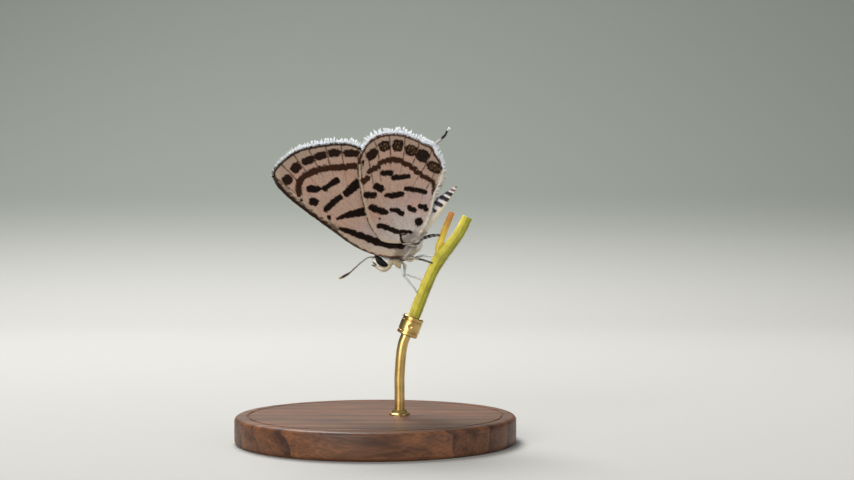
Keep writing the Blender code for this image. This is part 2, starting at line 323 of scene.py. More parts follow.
# Wings are drawn as (x, z). A stroke is its points and its half width, or one at each point.
# A spot is its middle, its two sizes and its lean in degrees.
wing = {
    "thickness": 0.05, "veinHeight": 0.02, "veinHalf": 0.06, "veinSteps": 14, "camber": 0.06,
    "hingeHeight": 0.47, "scaleLength": 0.13, "scaleWidth": 0.07, "rowStep": 0.068,
    "fanAngle": 1.2, "tuckedUnder": 0.35, "fringeStep": 0.022, "fringeWidth": 0.016,
    "fringePoint": 0.155, "inkSpread": 0.045,
}
foreWing = {
    "layer": 0.1, "cells": (80, 120), "fan": (0.6, -7.0), "costaRimAndShadow": 0.24, "paleCosta": 0.9,
    "edgeLine": 0.19, "edgeTone": "edge",
    "costa": [(-0.95, -0.57), (-1.78, 0.3), (-2.52, 1.5), (-3.03, 3.1), (-3.3, 5.3), (-3.56, 7.8),
        (-3.68, 9.8), (-3.55, 11.1), (-3.22, 11.9)],
    "margin": [(-3.22, 11.9), (-2.85, 12.08), (-2.2, 12.12), (-1.2, 12.0), (-0.1, 11.62), (0.72, 11.05),
        (1.5, 10.45), (2.2, 9.8), (2.9, 8.98), (3.28, 8.1), (3.35, 7.4)],
    "inner": [(0.25, -0.25), (1.2, 2.2), (2.4, 5.0), (3.35, 7.4)],
    "veins": [[(-0.9, 0.3), (-2.5, 3.8), (-3.35, 7.6)], [(-0.8, 0.4), (-2.0, 3.4), (-2.4, 6.8)],
        [(-2.2, 5.0), (-2.95, 8.6), (-3.15, 11.6)],
        [(-2.4, 6.8), (-2.3, 9.0), (-2.1, 11.0), (-2.05, 12.1)],
        [(-1.9, 6.8), (-1.35, 9.0), (-0.98, 10.9), (-0.75, 11.9)],
        [(-1.4, 6.7), (-0.5, 8.9), (0.08, 10.45), (0.4, 11.3)],
        [(-0.75, 6.6), (0.3, 8.5), (1.1, 9.8), (1.6, 10.4)],
        [(-0.7, 5.6), (0.8, 7.5), (1.95, 8.9), (2.5, 9.5)],
        [(-0.6, 4.4), (1.3, 6.4), (2.7, 7.8), (3.2, 8.3)], [(-0.3, 0.4), (-0.7, 3.0), (-0.75, 6.6)],
        [(0.0, 0.2), (1.6, 4.0), (3.3, 7.5)]],
    "black": [([(-1.98, 8.9), (-1.6, 8.44)], 0.26), ([(-1.5, 8.34), (-1.3, 8.12)], 0.07),
        ([(-1.13, 8.0), (-0.78, 7.92), (-0.35, 7.84), (-0.02, 7.72)], [0.23, 0.17, 0.22, 0.24]),
        ([(-2.6, 8.02), (-2.5, 7.86)], 0.29),
        ([(-2.3, 6.8), (-1.5, 6.72), (-0.85, 6.6)], [0.22, 0.24, 0.2]),
        ([(-0.25, 6.45), (0.2, 6.38), (0.95, 6.3)], [0.26, 0.32, 0.36]),
        ([(-2.25, 5.55), (-1.45, 5.15), (-0.3, 4.3)], [0.09, 0.24, 0.34]), ([(-2.65, 6.15)], [0.15]),
        ([(-3.1, 8.8)], [0.08]), ([(-2.75, 4.85), (-2.45, 4.25), (-2.0, 3.15), (-1.55, 1.95),
        (-1.0, 0.95), (-0.35, 0.2)], [0.1, 0.2, 0.24, 0.27, 0.28, 0.26])],
    "blackSpots": [((-2.65, 10.76), (0.76, 0.76), 5), ((-1.47, 10.9), (0.8, 0.74), -8),
        ((-0.36, 10.57), (1.0, 0.6), -26), ((0.6, 10.08), (0.96, 0.58), -36),
        ((1.52, 9.38), (1.0, 0.58), -44), ((2.46, 8.3), (1.2, 0.54), -50)],
    "brown": [([(2.0, 7.28), (1.5, 7.78)], 0.25), ([(1.36, 7.84), (0.95, 8.3)], 0.25),
        ([(0.8, 8.42), (0.46, 8.78), (0.0, 9.16)], 0.25),
        ([(-0.16, 9.3), (-0.75, 9.62), (-1.28, 9.84)], 0.25),
        ([(-1.45, 9.93), (-2.0, 9.96), (-2.45, 9.7)], 0.25), ([(-2.62, 9.64), (-2.86, 9.28)], 0.22)],
    "smear": [([(-3.4, 11.0), (-3.55, 9.65), (-3.48, 8.25), (-3.3, 6.5), (-2.9, 5.0)],
        [0.2, 0.24, 0.22, 0.2, 0.16])],
    "fringeLong": [(0.0, 0.2), (0.12, 0.28), (0.3, 0.42), (0.6, 0.52), (0.92, 0.5), (1.0, 0.2)],
}
hindWing = {
    # the hindwing's costa rim is a thin dark line of painted shadow along its edge
    "layer": 0.32, "cells": (90, 90), "fan": (-2.5, -5.0), "costaRimAndShadow": 0.05, "paleCosta": 0.36,
    "edgeLine": 0.165, "edgeTone": "chestnut",
    "costa": [(0.1, -0.1), (-0.6, 0.67), (-1.2, 1.6), (-1.15, 2.4), (-0.85, 3.4), (-0.2, 4.45),
        (0.6, 5.6), (1.55, 6.75), (2.3, 7.35)],
    "margin": [(2.3, 7.35), (3.14, 7.75), (4.4, 7.8), (5.5, 7.22), (6.35, 6.25), (6.8, 5.2), (7.05, 4.3),
        (7.24, 3.75), (6.98, 3.1), (6.85, 2.5), (6.4, 1.75)],
    "inner": [(0.55, -0.28), (1.3, -0.25), (2.4, -0.02), (3.4, 0.42), (4.3, 0.98), (5.2, 1.32),
        (6.4, 1.75)],
    "veins": [[(-0.5, 1.2), (-0.45, 3.2), (1.2, 5.9), (2.6, 7.4)],
        [(0.2, 1.2), (1.1, 4.2), (3.0, 6.9), (3.35, 7.75)],
        [(1.5, 4.0), (3.2, 5.9), (4.15, 6.95), (4.5, 7.7)],
        [(2.1, 3.8), (4.0, 5.4), (5.1, 6.4), (5.6, 7.0)],
        [(2.5, 3.4), (4.5, 4.6), (5.75, 5.4), (6.45, 6.0)],
        [(2.6, 2.9), (4.6, 3.8), (6.1, 4.35), (6.9, 4.8)],
        [(0.3, 0.7), (2.2, 2.2), (4.4, 2.9), (6.25, 3.25), (7.15, 3.65)],
        [(0.6, 0.3), (3.4, 1.5), (6.3, 2.3), (6.9, 2.45)], [(0.2, 0.8), (0.75, 2.4), (1.5, 4.0)],
        [(1.5, 4.0), (2.1, 3.8), (2.5, 3.4), (2.6, 2.9)], [(0.7, 0.1), (3.3, 0.8), (5.4, 1.4)]],
    "black": [([(3.0, 5.28), (3.42, 4.82)], 0.21), ([(3.3, 4.4), (4.15, 3.6)], 0.18),
        ([(1.82, 4.95), (1.92, 4.58)], 0.27), ([(0.76, 5.1), (1.14, 4.66)], 0.24),
        ([(1.86, 3.84), (2.2, 3.44), (2.78, 3.02)], [0.17, 0.2, 0.18]),
        ([(3.35, 3.0), (3.75, 2.4), (4.15, 1.72)], 0.17),
        ([(0.26, 4.13), (0.5, 3.5), (0.77, 2.98)], [0.23, 0.26, 0.19]),
        ([(1.22, 2.76), (1.5, 2.42), (1.56, 1.94)], [0.15, 0.19, 0.19]),
        ([(2.33, 1.78), (2.42, 1.42)], 0.2), ([(3.0, 1.2), (3.2, 0.92), (3.14, 0.72)], 0.18),
        ([(1.98, 0.46)], [0.3]),
        ([(-0.4, 2.65), (-0.1, 2.05), (0.22, 1.2), (0.95, 0.38)], [0.19, 0.18, 0.16, 0.1]),
        ([(0.05, 3.0)], [0.06]), ([(-0.15, 0.4), (0.15, 0.8), (0.3, 1.0)], 0.035),
        ([(0.15, 0.8), (0.65, 0.55)], 0.03), ([(6.86, 2.3), (6.6, 2.02), (6.27, 1.8)], 0.13),
        ([(2.42, 6.98), (2.62, 7.16)], 0.07)],
    "blackSpots": [((3.53, 6.98), (1.02, 0.68), -4), ((4.7, 6.68), (0.9, 0.78), -25),
        ((5.48, 5.92), (0.86, 0.9), -52), ((5.9, 4.84), (0.92, 0.84), -60),
        ((6.2, 3.84), (1.04, 0.94), -80), ((6.17, 2.46), (1.22, 0.8), -75)],
    "brown": [([(1.42, 6.05), (1.84, 5.97)], 0.24), ([(2.35, 6.2), (2.72, 6.1), (3.08, 5.95)], 0.22),
        ([(3.44, 6.02), (3.72, 5.9)], 0.2), ([(3.8, 5.86), (4.28, 5.5)], 0.22),
        ([(4.34, 5.42), (4.78, 4.86)], 0.22), ([(4.72, 4.62), (4.9, 4.08)], 0.21),
        ([(4.88, 4.04), (4.96, 3.56)], 0.2), ([(4.9, 3.4), (5.0, 2.9)], 0.19),
        ([(4.98, 2.72), (5.14, 2.1)], 0.18), ([(5.22, 1.8), (4.86, 1.36), (4.52, 1.06)], 0.17)],
    "smear": [],
    "fringeLong": [(0.0, 0.04), (0.07, 0.06), (0.13, 0.4), (0.22, 0.62), (0.55, 0.6), (0.78, 0.54),
        (0.92, 0.44), (1.0, 0.24)],
}
# The underside's ground tones are darker than the wing's own near-white: the darkening is painted shade,
# as on a wing lit from behind.
underColours = {
    "field": "#9f8677", "blush": "#a57f6e", "base": "#a19a94", "inner": "#9f8e8a", "rim": "#948172",
    "costa": "#a49480", "dust": "#6a5346", "black": "#100703", "brown": "#2f1a0d", "spot": "#1e110a",
    "edge": "#21100a", "reddish": "#4a2418", "chestnut": "#3b1f11", "vein": "#523829", "smear": "#3a281d",
    "gold": "#6a5238", "steel": "#17363f",
}
upperColours = {"field": "#645c6c", "border": "#3d3230", "base": "#7f86a6"}
fringeColours = {"white": "#fdfbf8", "cool": "#dcebff", "dusk": "#9a8878"}
wingHairColours = {"cream": "#f1e9d8", "grey": "#a3979a", "tan": "#ab9c86", "shade": "#4a382e"}


def wingGap(x, z):  # the inner face of the wing's solid, as it passes round the body
    body = 0.66 * fade(5.0, 7.0, x) + 0.28 * fade(0.8, 2.4, x) + 0.1
    return 0.05 + body * fade(0.1, 2.0, z)


def readyWing(part):
    cross, along = part["cells"]
    for key, steps in (("costa", along), ("inner", along), ("margin", cross)):
        part[key + "Line"] = smoothPath(part[key], steps)
    part["veinLines"] = [(smoothPath(v, wing["veinSteps"]),) for v in part["veins"]]
    part["outline"] = np.concatenate([part["costaLine"], part["marginLine"],
                                      part["innerLine"][::-1]])


def wingHeight(part, x, z):  # how far a wing's middle sheet lies from the plane between the wings
    rootShare = ease(0.0, 0.95, chainDistance(x, z, [part["costa"][0], part["inner"][0]]))
    vein = marksDistance(x, z, part["veinLines"])
    ridge = wing["veinHeight"] * np.exp(-(vein / wing["veinHalf"]) ** 2)
    pleat = 0.03 * ease(0.0, 0.5, vein)
    bulge = wing["camber"] * np.sin(np.clip((z + 0.6) / 12.6, 0, 1) * math.pi)
    full = wingGap(x, z) + part["layer"] + ridge + pleat * 0.6 + bulge * 0.7
    return full * rootShare + (wing["hingeHeight"] + part["layer"] * 0.5) * (1 - rootShare)


def inside(x, z, outline):
    hit = np.zeros(x.shape, bool)
    for (ax, az), (bx, bz) in zip(outline, np.roll(outline, -1, axis=0)):
        if az != bz:
            hit ^= ((az > z) != (bz > z)) & (x < (bx - ax) * (z - az) / (bz - az) + ax)
    return hit


def underside(part, x, z, noise):
    ink = inks(underColours)
    toMargin, toCosta = (chainDistance(x, z, part[k]) for k in ("marginLine", "costaLine"))
    wobble = ripple(x, z, 0.62) * 0.045 + noise * 0.024
    bodyward = np.hypot(x - 1, z) + 0.6 * z if part is hindWing else np.hypot(x, z) * 1.3
    colour = layered(
        ink, "field", ("inner", fade(3.6, 6.6, bodyward) * 0.9),  # greyer inwards
        ("base", fade(1.2, 4.0, np.hypot(x, z)) * 0.9))
    # brighter round the wing root: painted light against the shade where the wing dives to the body
    colour = colour * (1 + 0.2 * fade(0.2, 1.6, np.hypot(x - 0.6, z)))[..., None]
    # pinkish blotches: painted light shining through the thin wing
    colour = mix(colour, ink["blush"], np.clip(ripple(x + 1.3, z * 0.8, 4.6), 0, 1) * 0.6)
    colour = colour * (1 + 0.07 * ripple(x, z * 0.6, 2.6))[..., None]
    fromFan = np.hypot(x - part["fan"][0], z - part["fan"][1])
    across = np.arctan2(x - part["fan"][0], z - part["fan"][1]) * 14
    rays = ripple(across, fromFan * 0.14, 0.6) + 0.8 * ripple(across + 2, fromFan * 0.1, 0.27)
    colour = colour * (1 + 0.055 * rays)[..., None]  # faint streaks along the veins
    vein = marksDistance(x, z, part["veinLines"]) + wobble * 0.6
    outer = fade(1.2, 3.4, toMargin)
    smear = marksDistance(x, z, part["smear"]) + wobble * 3
    brown = marksDistance(x, z, part["brown"]) - wing["inkSpread"] * 0.5 + wobble * 1.4
    colour = layered(
        ink, colour, ("dust", (noise > 1.5) * 0.34), ("rim", fade(0.4, 1.6, toMargin)),
        ("costa", fade(0.16, part["paleCosta"], toCosta) * 0.85),
        ("vein", fade(0.02, 0.06 + 0.03 * outer, vein) * (0.13 + 0.8 * outer)),
        ("smear", fade(-0.1, 0.14, smear) * 0.85), ("brown", fade(-0.03, 0.03, brown)))
    for tone, strokes, spots in (("black", part["black"], []), ("spot", [], part["blackSpots"])):
        dark = marksDistance(x, z, strokes, spots) - wing["inkSpread"] + wobble
        inner = mix(ink["brown"], ink[tone], ease(0.0, 0.1, -dark))
        colour = mix(colour, inner, fade(-0.02, 0.02, dark))
    colour = mix(colour, ink[part["edgeTone"]], fade(
        part["edgeLine"] - 0.03, part["edgeLine"] + 0.02, toMargin + wobble * 0.5))
    # a dark rim along the costa: on the forewing its own dark edge, on the hindwing a thin painted shadow
    # line
    rim = part["costaRimAndShadow"] * (0.45 + 0.55 * ease(1.5, 6.0, z))
    edge = mix(ink["reddish"], ink["edge"], ease(0.8, 4.0, z)) if part is foreWing else ink["edge"]
    return mix(colour, edge, fade(rim - 0.03, rim + 0.05, toCosta + wobble) * 0.92)


def speckle(x, z, colour, draw):  # dull gold and steel scales inside the hindwing's row of spots: the tint of their metallic scales together with painted glints
    ink = inks(underColours)
    for index, share, tone in ((1, 0.2, "gold"), (2, 0.3, "gold"), (3, 0.3, "gold"),
                               (4, 0.12, "steel"), (5, 0.4, "gold")):
        depth = -spotDistance(x, z, *hindWing["blackSpots"][index])
        lit = (depth > 0.1) & (draw < share)
        colour[lit] = mix(colour[lit], ink[tone], np.full(lit.sum(), 0.72))
    return colour


def upperside(part, x, z):
    return layered(inks(upperColours), "field", ("base", fade(1.0, 4.0, np.hypot(x, z))),
                   ("border", fade(0.6, 1.3, chainDistance(x, z, part["marginLine"]))))


def buildMembrane(name, part, side):
    cross, along = part["cells"]
    s = np.linspace(0, 1, cross + 1)[None, :, None]
    t = np.linspace(0, 1, along + 1)[:, None, None]
    costa, inner = part["costaLine"][:, None], part["innerLine"][:, None]
    tip = costa[-1] * (1 - s[0]) + inner[-1] * s[0]
    flat = costa * (1 - s) + inner * s + (part["marginLine"][None] - tip[None]) * t
    flat = flat.reshape(-1, 2)
    column = cross + 1
    faces = [(k, k + 1, k + column + 1, k + column)[::-side]
             for r in range(along) for k in range(r * column, r * column + cross)]
    sheet = addPiece(name, raised(flat, side * wingHeight(part, *flat.T)), faces, wingSkin)
    modify(sheet, "SOLIDIFY", thickness=wing["thickness"], offset=0)
    points = readVerts(sheet.data)
    x, z = points[:, 0], points[:, 2]
    outer = readVerts(sheet.data, "normal")[:, 1:2] * side > 0
    paint(sheet.data, np.where(outer, underside(part, x, z, x * 0), upperside(part, x, z)))
    moveVerts(sheet.data, points)
    return sheet


def scatter(name, verts, form, colours, homes, patch, material, smooth=True, level=True):
    # copies of one small form as one mesh; in its bake map each copy has a patch of its own
    count, size = verts.shape[:2]
    flat = verts.reshape(-1, 3)
    faces = [tuple(size * k + v for v in f) for k in range(count) for f in form]
    coat = addPiece(name, toWorld(flat) if level else flat * mm, faces, material, smooth)
    paint(coat.data, np.repeat(colours, size, axis=0))
    places = np.clip(homes[:, None] + np.array(patch), 0.002, 0.998).reshape(-1, 2)
    loops = np.zeros(len(coat.data.loops), int)
    coat.data.loops.foreach_get("vertex_index", loops)
    layer = coat.data.uv_layers.new(name="OFBake")
    layer.data.foreach_set("uv", places[loops].ravel())
    return coat


def flatHomes(part, x, z, room=0):  # an unwrap in the wing's own flat shape
    low, high = part["outline"].min(axis=0) - room, part["outline"].max(axis=0)
    return (np.stack([x, z], 1) - low) / ((high - low).max() * 1.04) + 0.02


def roundHomes(along, around):  # an unwrap along and round a piece, from two shares
    return 0.02 + np.stack([along, around], 1) * 0.96


def buildScales(name, part, side, covered):
    step = wing["rowStep"]
    low, high = part["outline"].min(axis=0), part["outline"].max(axis=0)
    corners = np.array([(a, b) for a in (low[0], high[0]) for b in (low[1], high[1])])
    reach = np.hypot(*(corners - part["fan"]).T)
    rows = []
    for k, r in enumerate(np.arange(max(reach.min() - 3, 0.5), reach.max() + 0.2, step)):
        turnStep = step * 0.95 / r
        angles = np.arange(-wing["fanAngle"], wing["fanAngle"], turnStep) + k % 2 * turnStep / 2
        rows.append([part["fan"][0] + r * np.sin(angles), part["fan"][1] + r * np.cos(angles)])
    x, z = np.concatenate(rows, axis=1)
    x = x + dice.normal(0, 0.008, len(x))
    z = z + dice.normal(0, 0.008, len(z))
    keep = inside(x, z, part["outline"])
    if covered:  # none where the other wing lies over this one
        keep &= ~(inside(x, z, covered["outline"])
                  & (chainDistance(x, z, covered["costaLine"]) > wing["tuckedUnder"]))
    x, z = x[keep], z[keep]
    count = len(x)
    place = np.stack([x, z], 1)
    away = place - part["fan"]
    aim = unit(away + dice.normal(0, 0.06, (count, 2)) * np.hypot(*away.T)[:, None] * 0.1)
    cross = square(aim)
    long = wing["scaleLength"] * dice.uniform(0.85, 1.15, count)
    wide = wing["scaleWidth"] * dice.uniform(0.85, 1.1, count)
    draws = dice.random(count)
    tipX, tipZ = (place + aim * (long * 0.8)[:, None]).T  # past the row above only the tip shows
    colour = underside(part, tipX, tipZ, dice.normal(0, 1, count))
    if part is hindWing:
        colour = speckle(tipX, tipZ, colour, draws)
    colour = colour * dice.uniform(0.9, 1.1, count)[:, None]
    lift = dice.uniform(0.016, 0.028, count)
    level, nudge = wingHeight(part, x, z), 0.05
    rise = np.hypot(wingHeight(part, x + nudge, z) - level, wingHeight(part, x, z + nudge) - level)
    steep = np.minimum(np.hypot(1, rise / nudge), 3)  # where the wing dives to its root
    # one plate: a root, two shoulders, two tips on top and two tips below, each by its shares
    # of the length, the width and the lift
    stations = [(0, 0, 0.0), (0.6, -0.5, 0.5), (0.6, 0.5, 0.5), (1, -0.34, 1.0), (1, 0.34, 1.0),
                (1, -0.34, 0.35), (1, 0.34, 0.35)]
    verts = np.zeros((count, 7, 3))
    for k, (out, off, up) in enumerate(stations):
        at = place + aim * long[:, None] * out + cross * wide[:, None] * off
        height = wing["thickness"] / 2 * steep + lift * steep * up + wingHeight(part, *at.T)
        verts[:, k] = raised(at, side * height)
    plate = [(0, 2, 1), (1, 2, 4, 3), (3, 4, 6, 5), (0, 1, 5), (0, 5, 6), (0, 6, 2), (1, 3, 5),
             (2, 6, 4)]
    patch = [(0, -0.0015), (-0.0015, 0), (0.0015, 0), (-0.001, 0.0015), (0.001, 0.0015),
             (-0.001, 0.001), (0.001, 0.001)]
    return scatter(name, verts, [f[::-side] for f in plate], colour, flatHomes(part, x, z), patch,
                   wingScales, smooth=False)


def buildTufts(name, roots, aims, longs, wides, bends, colours, homes, material, level=True):
    # thin three-sided locks that taper to a point and bend on their way
    aims = unit(aims)
    first = unit(np.cross(aims, np.where(abs(aims[:, 1:2]) < 0.8, [[0.0, 1, 0]], [[1.0, 0, 0]])))
    second = np.cross(aims, first)
    verts = np.zeros((len(roots), 10, 3))
    for k, (out, girth) in enumerate([(0, 0.8), (0.35, 1.0), (0.72, 0.62)]):
        middle = roots + aims * (longs * out)[:, None] + bends * (longs * out * out)[:, None]
        for j in range(3):
            a = fullTurn * j / 3
            verts[:, 3 * k + j] = middle + (first * math.cos(a) + second * math.sin(a)) * (
                wides * girth)[:, None]
    verts[:, 9] = roots + (aims + bends) * longs[:, None]
    form = [(2, 1, 0)] + bridge((0, 3, 6), 3) + fan(6, 3, 9)
    patch = [(0.0012 * math.cos(fullTurn * k / 10), 0.0012 * math.sin(fullTurn * k / 10))
             for k in range(10)]
    return scatter(name, verts, form, colours, homes, patch, material, level=level)


def buildFringe(name, part, side):
    line = smoothPath(part["margin"], 400)
    span = np.linalg.norm(np.diff(line, axis=0), axis=1).sum()
    share = np.sort(dice.random(int(span / wing["fringeStep"]) * 4))
    stops, lengths = np.array(part["fringeLong"]).T
    share = share[np.interp(share, stops, lengths) > 0.1]
    count = len(share)
    at = pointsAt(line, share * 400)
    tangent = unit(pointsAt(np.gradient(line, axis=0), share * 400))
    out = -square(tangent)
    away = np.sign(((at - part["outline"].mean(axis=0)) * out).sum(axis=1))
    out *= np.where(away == 0, 1, away)[:, None]
    # an even under layer, and over it longer hairs gathered into points
    point = share * span / wing["fringePoint"]
    clump = np.round(point + dice.normal(0, 0.1, count)).astype(int) + 2
    gathered = dice.random(count) < 0.62
    reach = np.where(gathered, dice.uniform(0.68, 1.32, 4000)[clump] * dice.uniform(0.86, 1, count),
                     dice.uniform(0.45, 0.68, count))
    long = np.interp(share, stops, lengths) * reach
    gather = (clump - 2 - point) * wing["fringePoint"] / np.maximum(long, 0.1)
    lean = dice.normal(0, 0.035, count) + np.where(
        gathered, gather + dice.normal(0, 0.13, 4000)[clump], 0)
    aim = unit(out + tangent * lean[:, None])
    layer = dice.uniform(-0.5, 0.5, count)
    root = at - out * 0.06
    roots = raised(root, side * (wingHeight(part, *root.T) + layer * 0.07))
    aims = raised(aim, side * dice.normal(0.02, 0.09, count))
    bends = raised(tangent, np.zeros(count)) * dice.normal(0, 0.04, count)[:, None]
    tone = layered(inks(fringeColours), "white", ("cool", dice.random(count) * 0.8),
                   ("dusk", (dice.random(count) < 0.05) * 0.5))
    wides = np.full(count, wing["fringeWidth"]) * dice.uniform(0.7, 1.3, count)
    return buildTufts(name, roots, aims, long, wides, bends, tone, flatHomes(part, *at.T),
                      fringeHair)


wingHair = {"edgeCount": 2900, "hingeCount": 2100, "locks": 36, "width": 0.011}


def buildWingHair(name, side):
    # soft pale hair along the hindwing's inner edge, and over the roots of both wings
    count, extra, locks = (wingHair[key] for key in ("edgeCount", "hingeCount", "locks"))
    steps = 300
    line = smoothPath(hindWing["inner"], steps)
    share = dice.random(count) ** 0.75
    go = unit(pointsAt(unit(np.gradient(line, axis=0)), share * steps))
    out = square(go)
    root = pointsAt(line, share * steps) - out * (dice.random(count) ** 1.6 * 0.2)[:, None]
    lock = np.round(share * locks + dice.normal(0, 0.12, count)).astype(int)
    splay = dice.normal(0.75, 0.3, 60)[lock] + (lock - share * locks) * 0.5
    aim = unit(out + go * splay[:, None] + dice.normal(0, 0.08, (count, 2)))
    long = (0.25 + 0.32 * ease(0.45, 0.8, share)) * dice.uniform(0.6, 1.25, 60)[lock]
    long *= dice.uniform(0.7, 1.0, count)
    long *= 1 - 0.45 * ease(0.9, 1.0, share)  # shorter by the inner angle
    y = side * (wingHeight(hindWing, *root.T) + dice.uniform(-0.02, 0.05, count))
    roots = raised(root, y)
    aims = raised(aim, side * dice.normal(-0.02, 0.12, count))
    # tufts over the hinge start on the wings and lie back against the thorax
    x = dice.uniform(-1.0, 0.8, extra)
    z = -0.5 + 0.24 * (x + 0.95) + abs(dice.normal(0, 0.16, extra)) - 0.05
    y = side * (np.where(x < 0.2, wingHeight(foreWing, x, z), wingHeight(hindWing, x, z)) + 0.02)
    roots = np.concatenate([roots, np.stack([x, y, z], 1)])
    sweep = np.stack([dice.normal(1.0, 0.12, extra), side * dice.normal(-0.12, 0.08, extra),
                      dice.normal(-0.2, 0.14, extra)], 1)
    aims = np.concatenate([aims, sweep])
    long = np.concatenate([long, dice.uniform(0.16, 0.34, extra)])
    x, y, z = roots.T
    total = len(x)
    pale = (ease(0.2, 0.9, x) * 0.9 + 0.12) * dice.uniform(0.5, 1.4, total)
    # soft dark patches near the wing roots are painted shade; besides them a tenth of the hairs are
    # darker at random
    shadePatches = ripple(x * 0.6, z * 1.6, 0.8) * (x < 0.6)
    shade = np.clip(shadePatches - 0.2, 0, 1) * 1.2 + (dice.random(total) < 0.1) * 0.4
    tone = layered(inks(wingHairColours), "grey", ("tan", fade(-1.2, -0.5, x)),
                   ("cream", np.clip(pale, 0, 1)), ("shade", np.clip(shade, 0, 0.9)))
    bends = np.tile([0, -side * 0.2, -0.04], (total, 1))
    return buildTufts(name, roots, aims, long,
                      wingHair["width"] * dice.uniform(0.7, 1.3, total), bends, tone,
                      flatHomes(hindWing, x, z, 1.5), bodyHair)


for shape in (foreWing, hindWing):
    readyWing(shape)
for side, word in ((-1, "Left"), (1, "Right")):
    for shape, kind in ((foreWing, "forewing"), (hindWing, "hindwing")):
        sheet = buildMembrane(kind + word + "Skin", shape, side)
        own(sheet, "wing_scales", kind + "_" + word.lower())
        coat = buildScales(kind + word + "Scales", shape, side,
                           hindWing if shape is foreWing else None)
        own(coat, "wing_scales")
        fringe = buildFringe(kind + word + "Fringe", shape, side)
        own(fringe, "body_hair")
    own(buildWingHair("wingRoot" + word + "Hair", side), "body_hair")
    print("wings", word)

# Body: one skin over head, palps, thorax, abdomen and leg roots. A blob is its middle and its
# three half sizes.
body = {
    "voxel": 0.042, "thorax": ((-0.22, 0, -0.08), (1.45, 0.7, 0.92)),
    "head": ((-2.34, 0, 0.46), (0.4, 0.52, 0.76)), "face": ((-2.7, 0, 0.8), (0.32, 0.42, 0.5)),
    "neck": ((-1.85, 0, 0.2), (0.55, 0.42, 0.52)), "shoulder": ((-0.42, 0.36, -0.4), (0.72, 0.32, 0.27)),
    "legRoots": [((-1.7, 0.26, -0.54), (0.3, 0.23, 0.48)), ((-0.78, 0.28, -0.88), (0.28, 0.22, 0.3)),
        ((0.22, 0.3, -0.74), (0.4, 0.24, 0.3))],
    "abdomenLine": [(0.9, 0, 0.0), (2.0, 0, 0.08), (3.2, 0, 0.15), (4.4, 0, 0.16), (5.3, 0, 0.14),
        (5.96, 0, 0.1), (6.15, 0, 0.09)],
    "palpLine": [(-2.08, 0.24, -0.06), (-2.42, 0.3, -0.15), (-2.74, 0.31, -0.08), (-2.94, 0.3, 0.14),
        (-3.02, 0.28, 0.42), (-3.1, 0.25, 0.68), (-3.16, 0.23, 0.88)],
    "abdomenRadii": [0.5, 0.62, 0.66, 0.62, 0.5, 0.29, 0.13], "abdomenRing": 0.62,
    "palpRadii": [0.17, 0.19, 0.19, 0.17, 0.12, 0.07, 0.03],
    "eye": ((-2.4, 0.45, 0.64), (0.29, 0.3, 0.72)), "eyeForward": 0.13, "eyeNarrow": 0.5,
    "bars": [(2.72, 0.26, 0.5, "bar"), (3.42, 0.34, 0.6, "bar"), (4.12, 0.4, 0.8, "bar"),
             (4.78, 0.4, 1.0, "bar"), (5.32, 0.34, 0.95, "bar"), (5.74, 0.22, 0.8, "tip"),
             (6.2, 0.4, 0.9, "tip")],  # place, width, height and tone of the abdomen's bars
}
bodyColours = {
    "thoraxSide": "#a39a98", "thoraxBelly": "#e0d6c0", "thoraxBack": "#5a5661",
    "coxa": "#c9b996", "brown": "#3c2419", "frons": "#fbf8f0", "crown": "#6b5a50",
    "palp": "#cfc3aa", "palpTip": "#2a1f1b", "abdomenSide": "#d6d1d8", "abdomenBelly": "#e9dec8",
    "abdomenBack": "#6f6a70", "bar": "#1d1716", "tip": "#6e4636", "fluff": "#f6f1e6",
    "white": "#f4f1ea",
}


def mirrored(points, side):  # -1 is the left side
    return [(x, y * side, z) for x, y, z in points]


def addBlobs(at, half, sides=(1,)):
    for place in (mirrored([at], side)[0] for side in sides):
        bpy.ops.mesh.primitive_uv_sphere_add(segments=40, ring_count=24, radius=1, location=place)
        bpy.context.object.scale = half
        bpy.ops.object.transform_apply(location=True, rotation=True, scale=True)
        yield bpy.context.object


def abdomenShape():
    line = smoothPath(body["abdomenLine"], 120)
    ring = (line[:, 0] - 1.2) / body["abdomenRing"]
    groove = np.exp(-(((ring - np.round(ring)) / 0.13) ** 2))
    girth = spread(body["abdomenRadii"], 121) * (1 - 0.075 * groove * ease(1.4, 2.0, line[:, 0]))
    verts, faces = tube(line, girth, 40)
    verts[:, 1] *= 0.92
    return verts, faces


def buildSkin():
    bpy.ops.object.select_all(action="DESELECT")
    forms = []
    for name in ("thorax", "head", "face", "neck"):
        forms += addBlobs(*body[name])
    for blob in [body["shoulder"]] + body["legRoots"]:
        forms += addBlobs(*blob, (-1, 1))
    shapes = [abdomenShape()]
    for side in (-1, 1):
        line = smoothPath(mirrored(body["palpLine"], side), 40)
        shapes.append(tube(line, spread(body["palpRadii"], 41), 16))
    for verts, faces in shapes:
        forms.append(addPiece("form", verts, faces, cuticle))
    choose(*forms)
    bpy.ops.object.join()
    skin = forms[0]
    skin.name = skin.data.name = "bodySkin"
    modify(skin, "REMESH", mode="VOXEL", voxel_size=body["voxel"])
    modify(skin, "SMOOTH", iterations=7, factor=0.5)
    dress(skin.data, cuticle)
    return skin


def eyeDepth(points):  # below 1 inside an eye
    at, half = body["eye"]
    up = (points[:, 2] - at[2]) / half[2]
    narrow = 1 - body["eyeNarrow"] * ease(0, 0.95, up)
    x = points[:, 0] - at[0] + body["eyeForward"] * np.clip(1 - up * up, 0, 1)
    y = abs(points[:, 1]) - at[1]
    return np.sqrt((x / half[0] / narrow) ** 2 + (y / half[1]) ** 2 + up * up)


def palpDistance(points):
    best = np.full(len(points), 9.0)
    for side in (-1, 1):
        line = np.array(mirrored(body["palpLine"], side))
        for a, b in zip(line, line[1:]):
            t = np.clip(((points - a) @ (b - a)) / ((b - a) @ (b - a)), 0, 1)
            best = np.minimum(best, np.linalg.norm(points - a - t[:, None] * (b - a), axis=1))
    return best


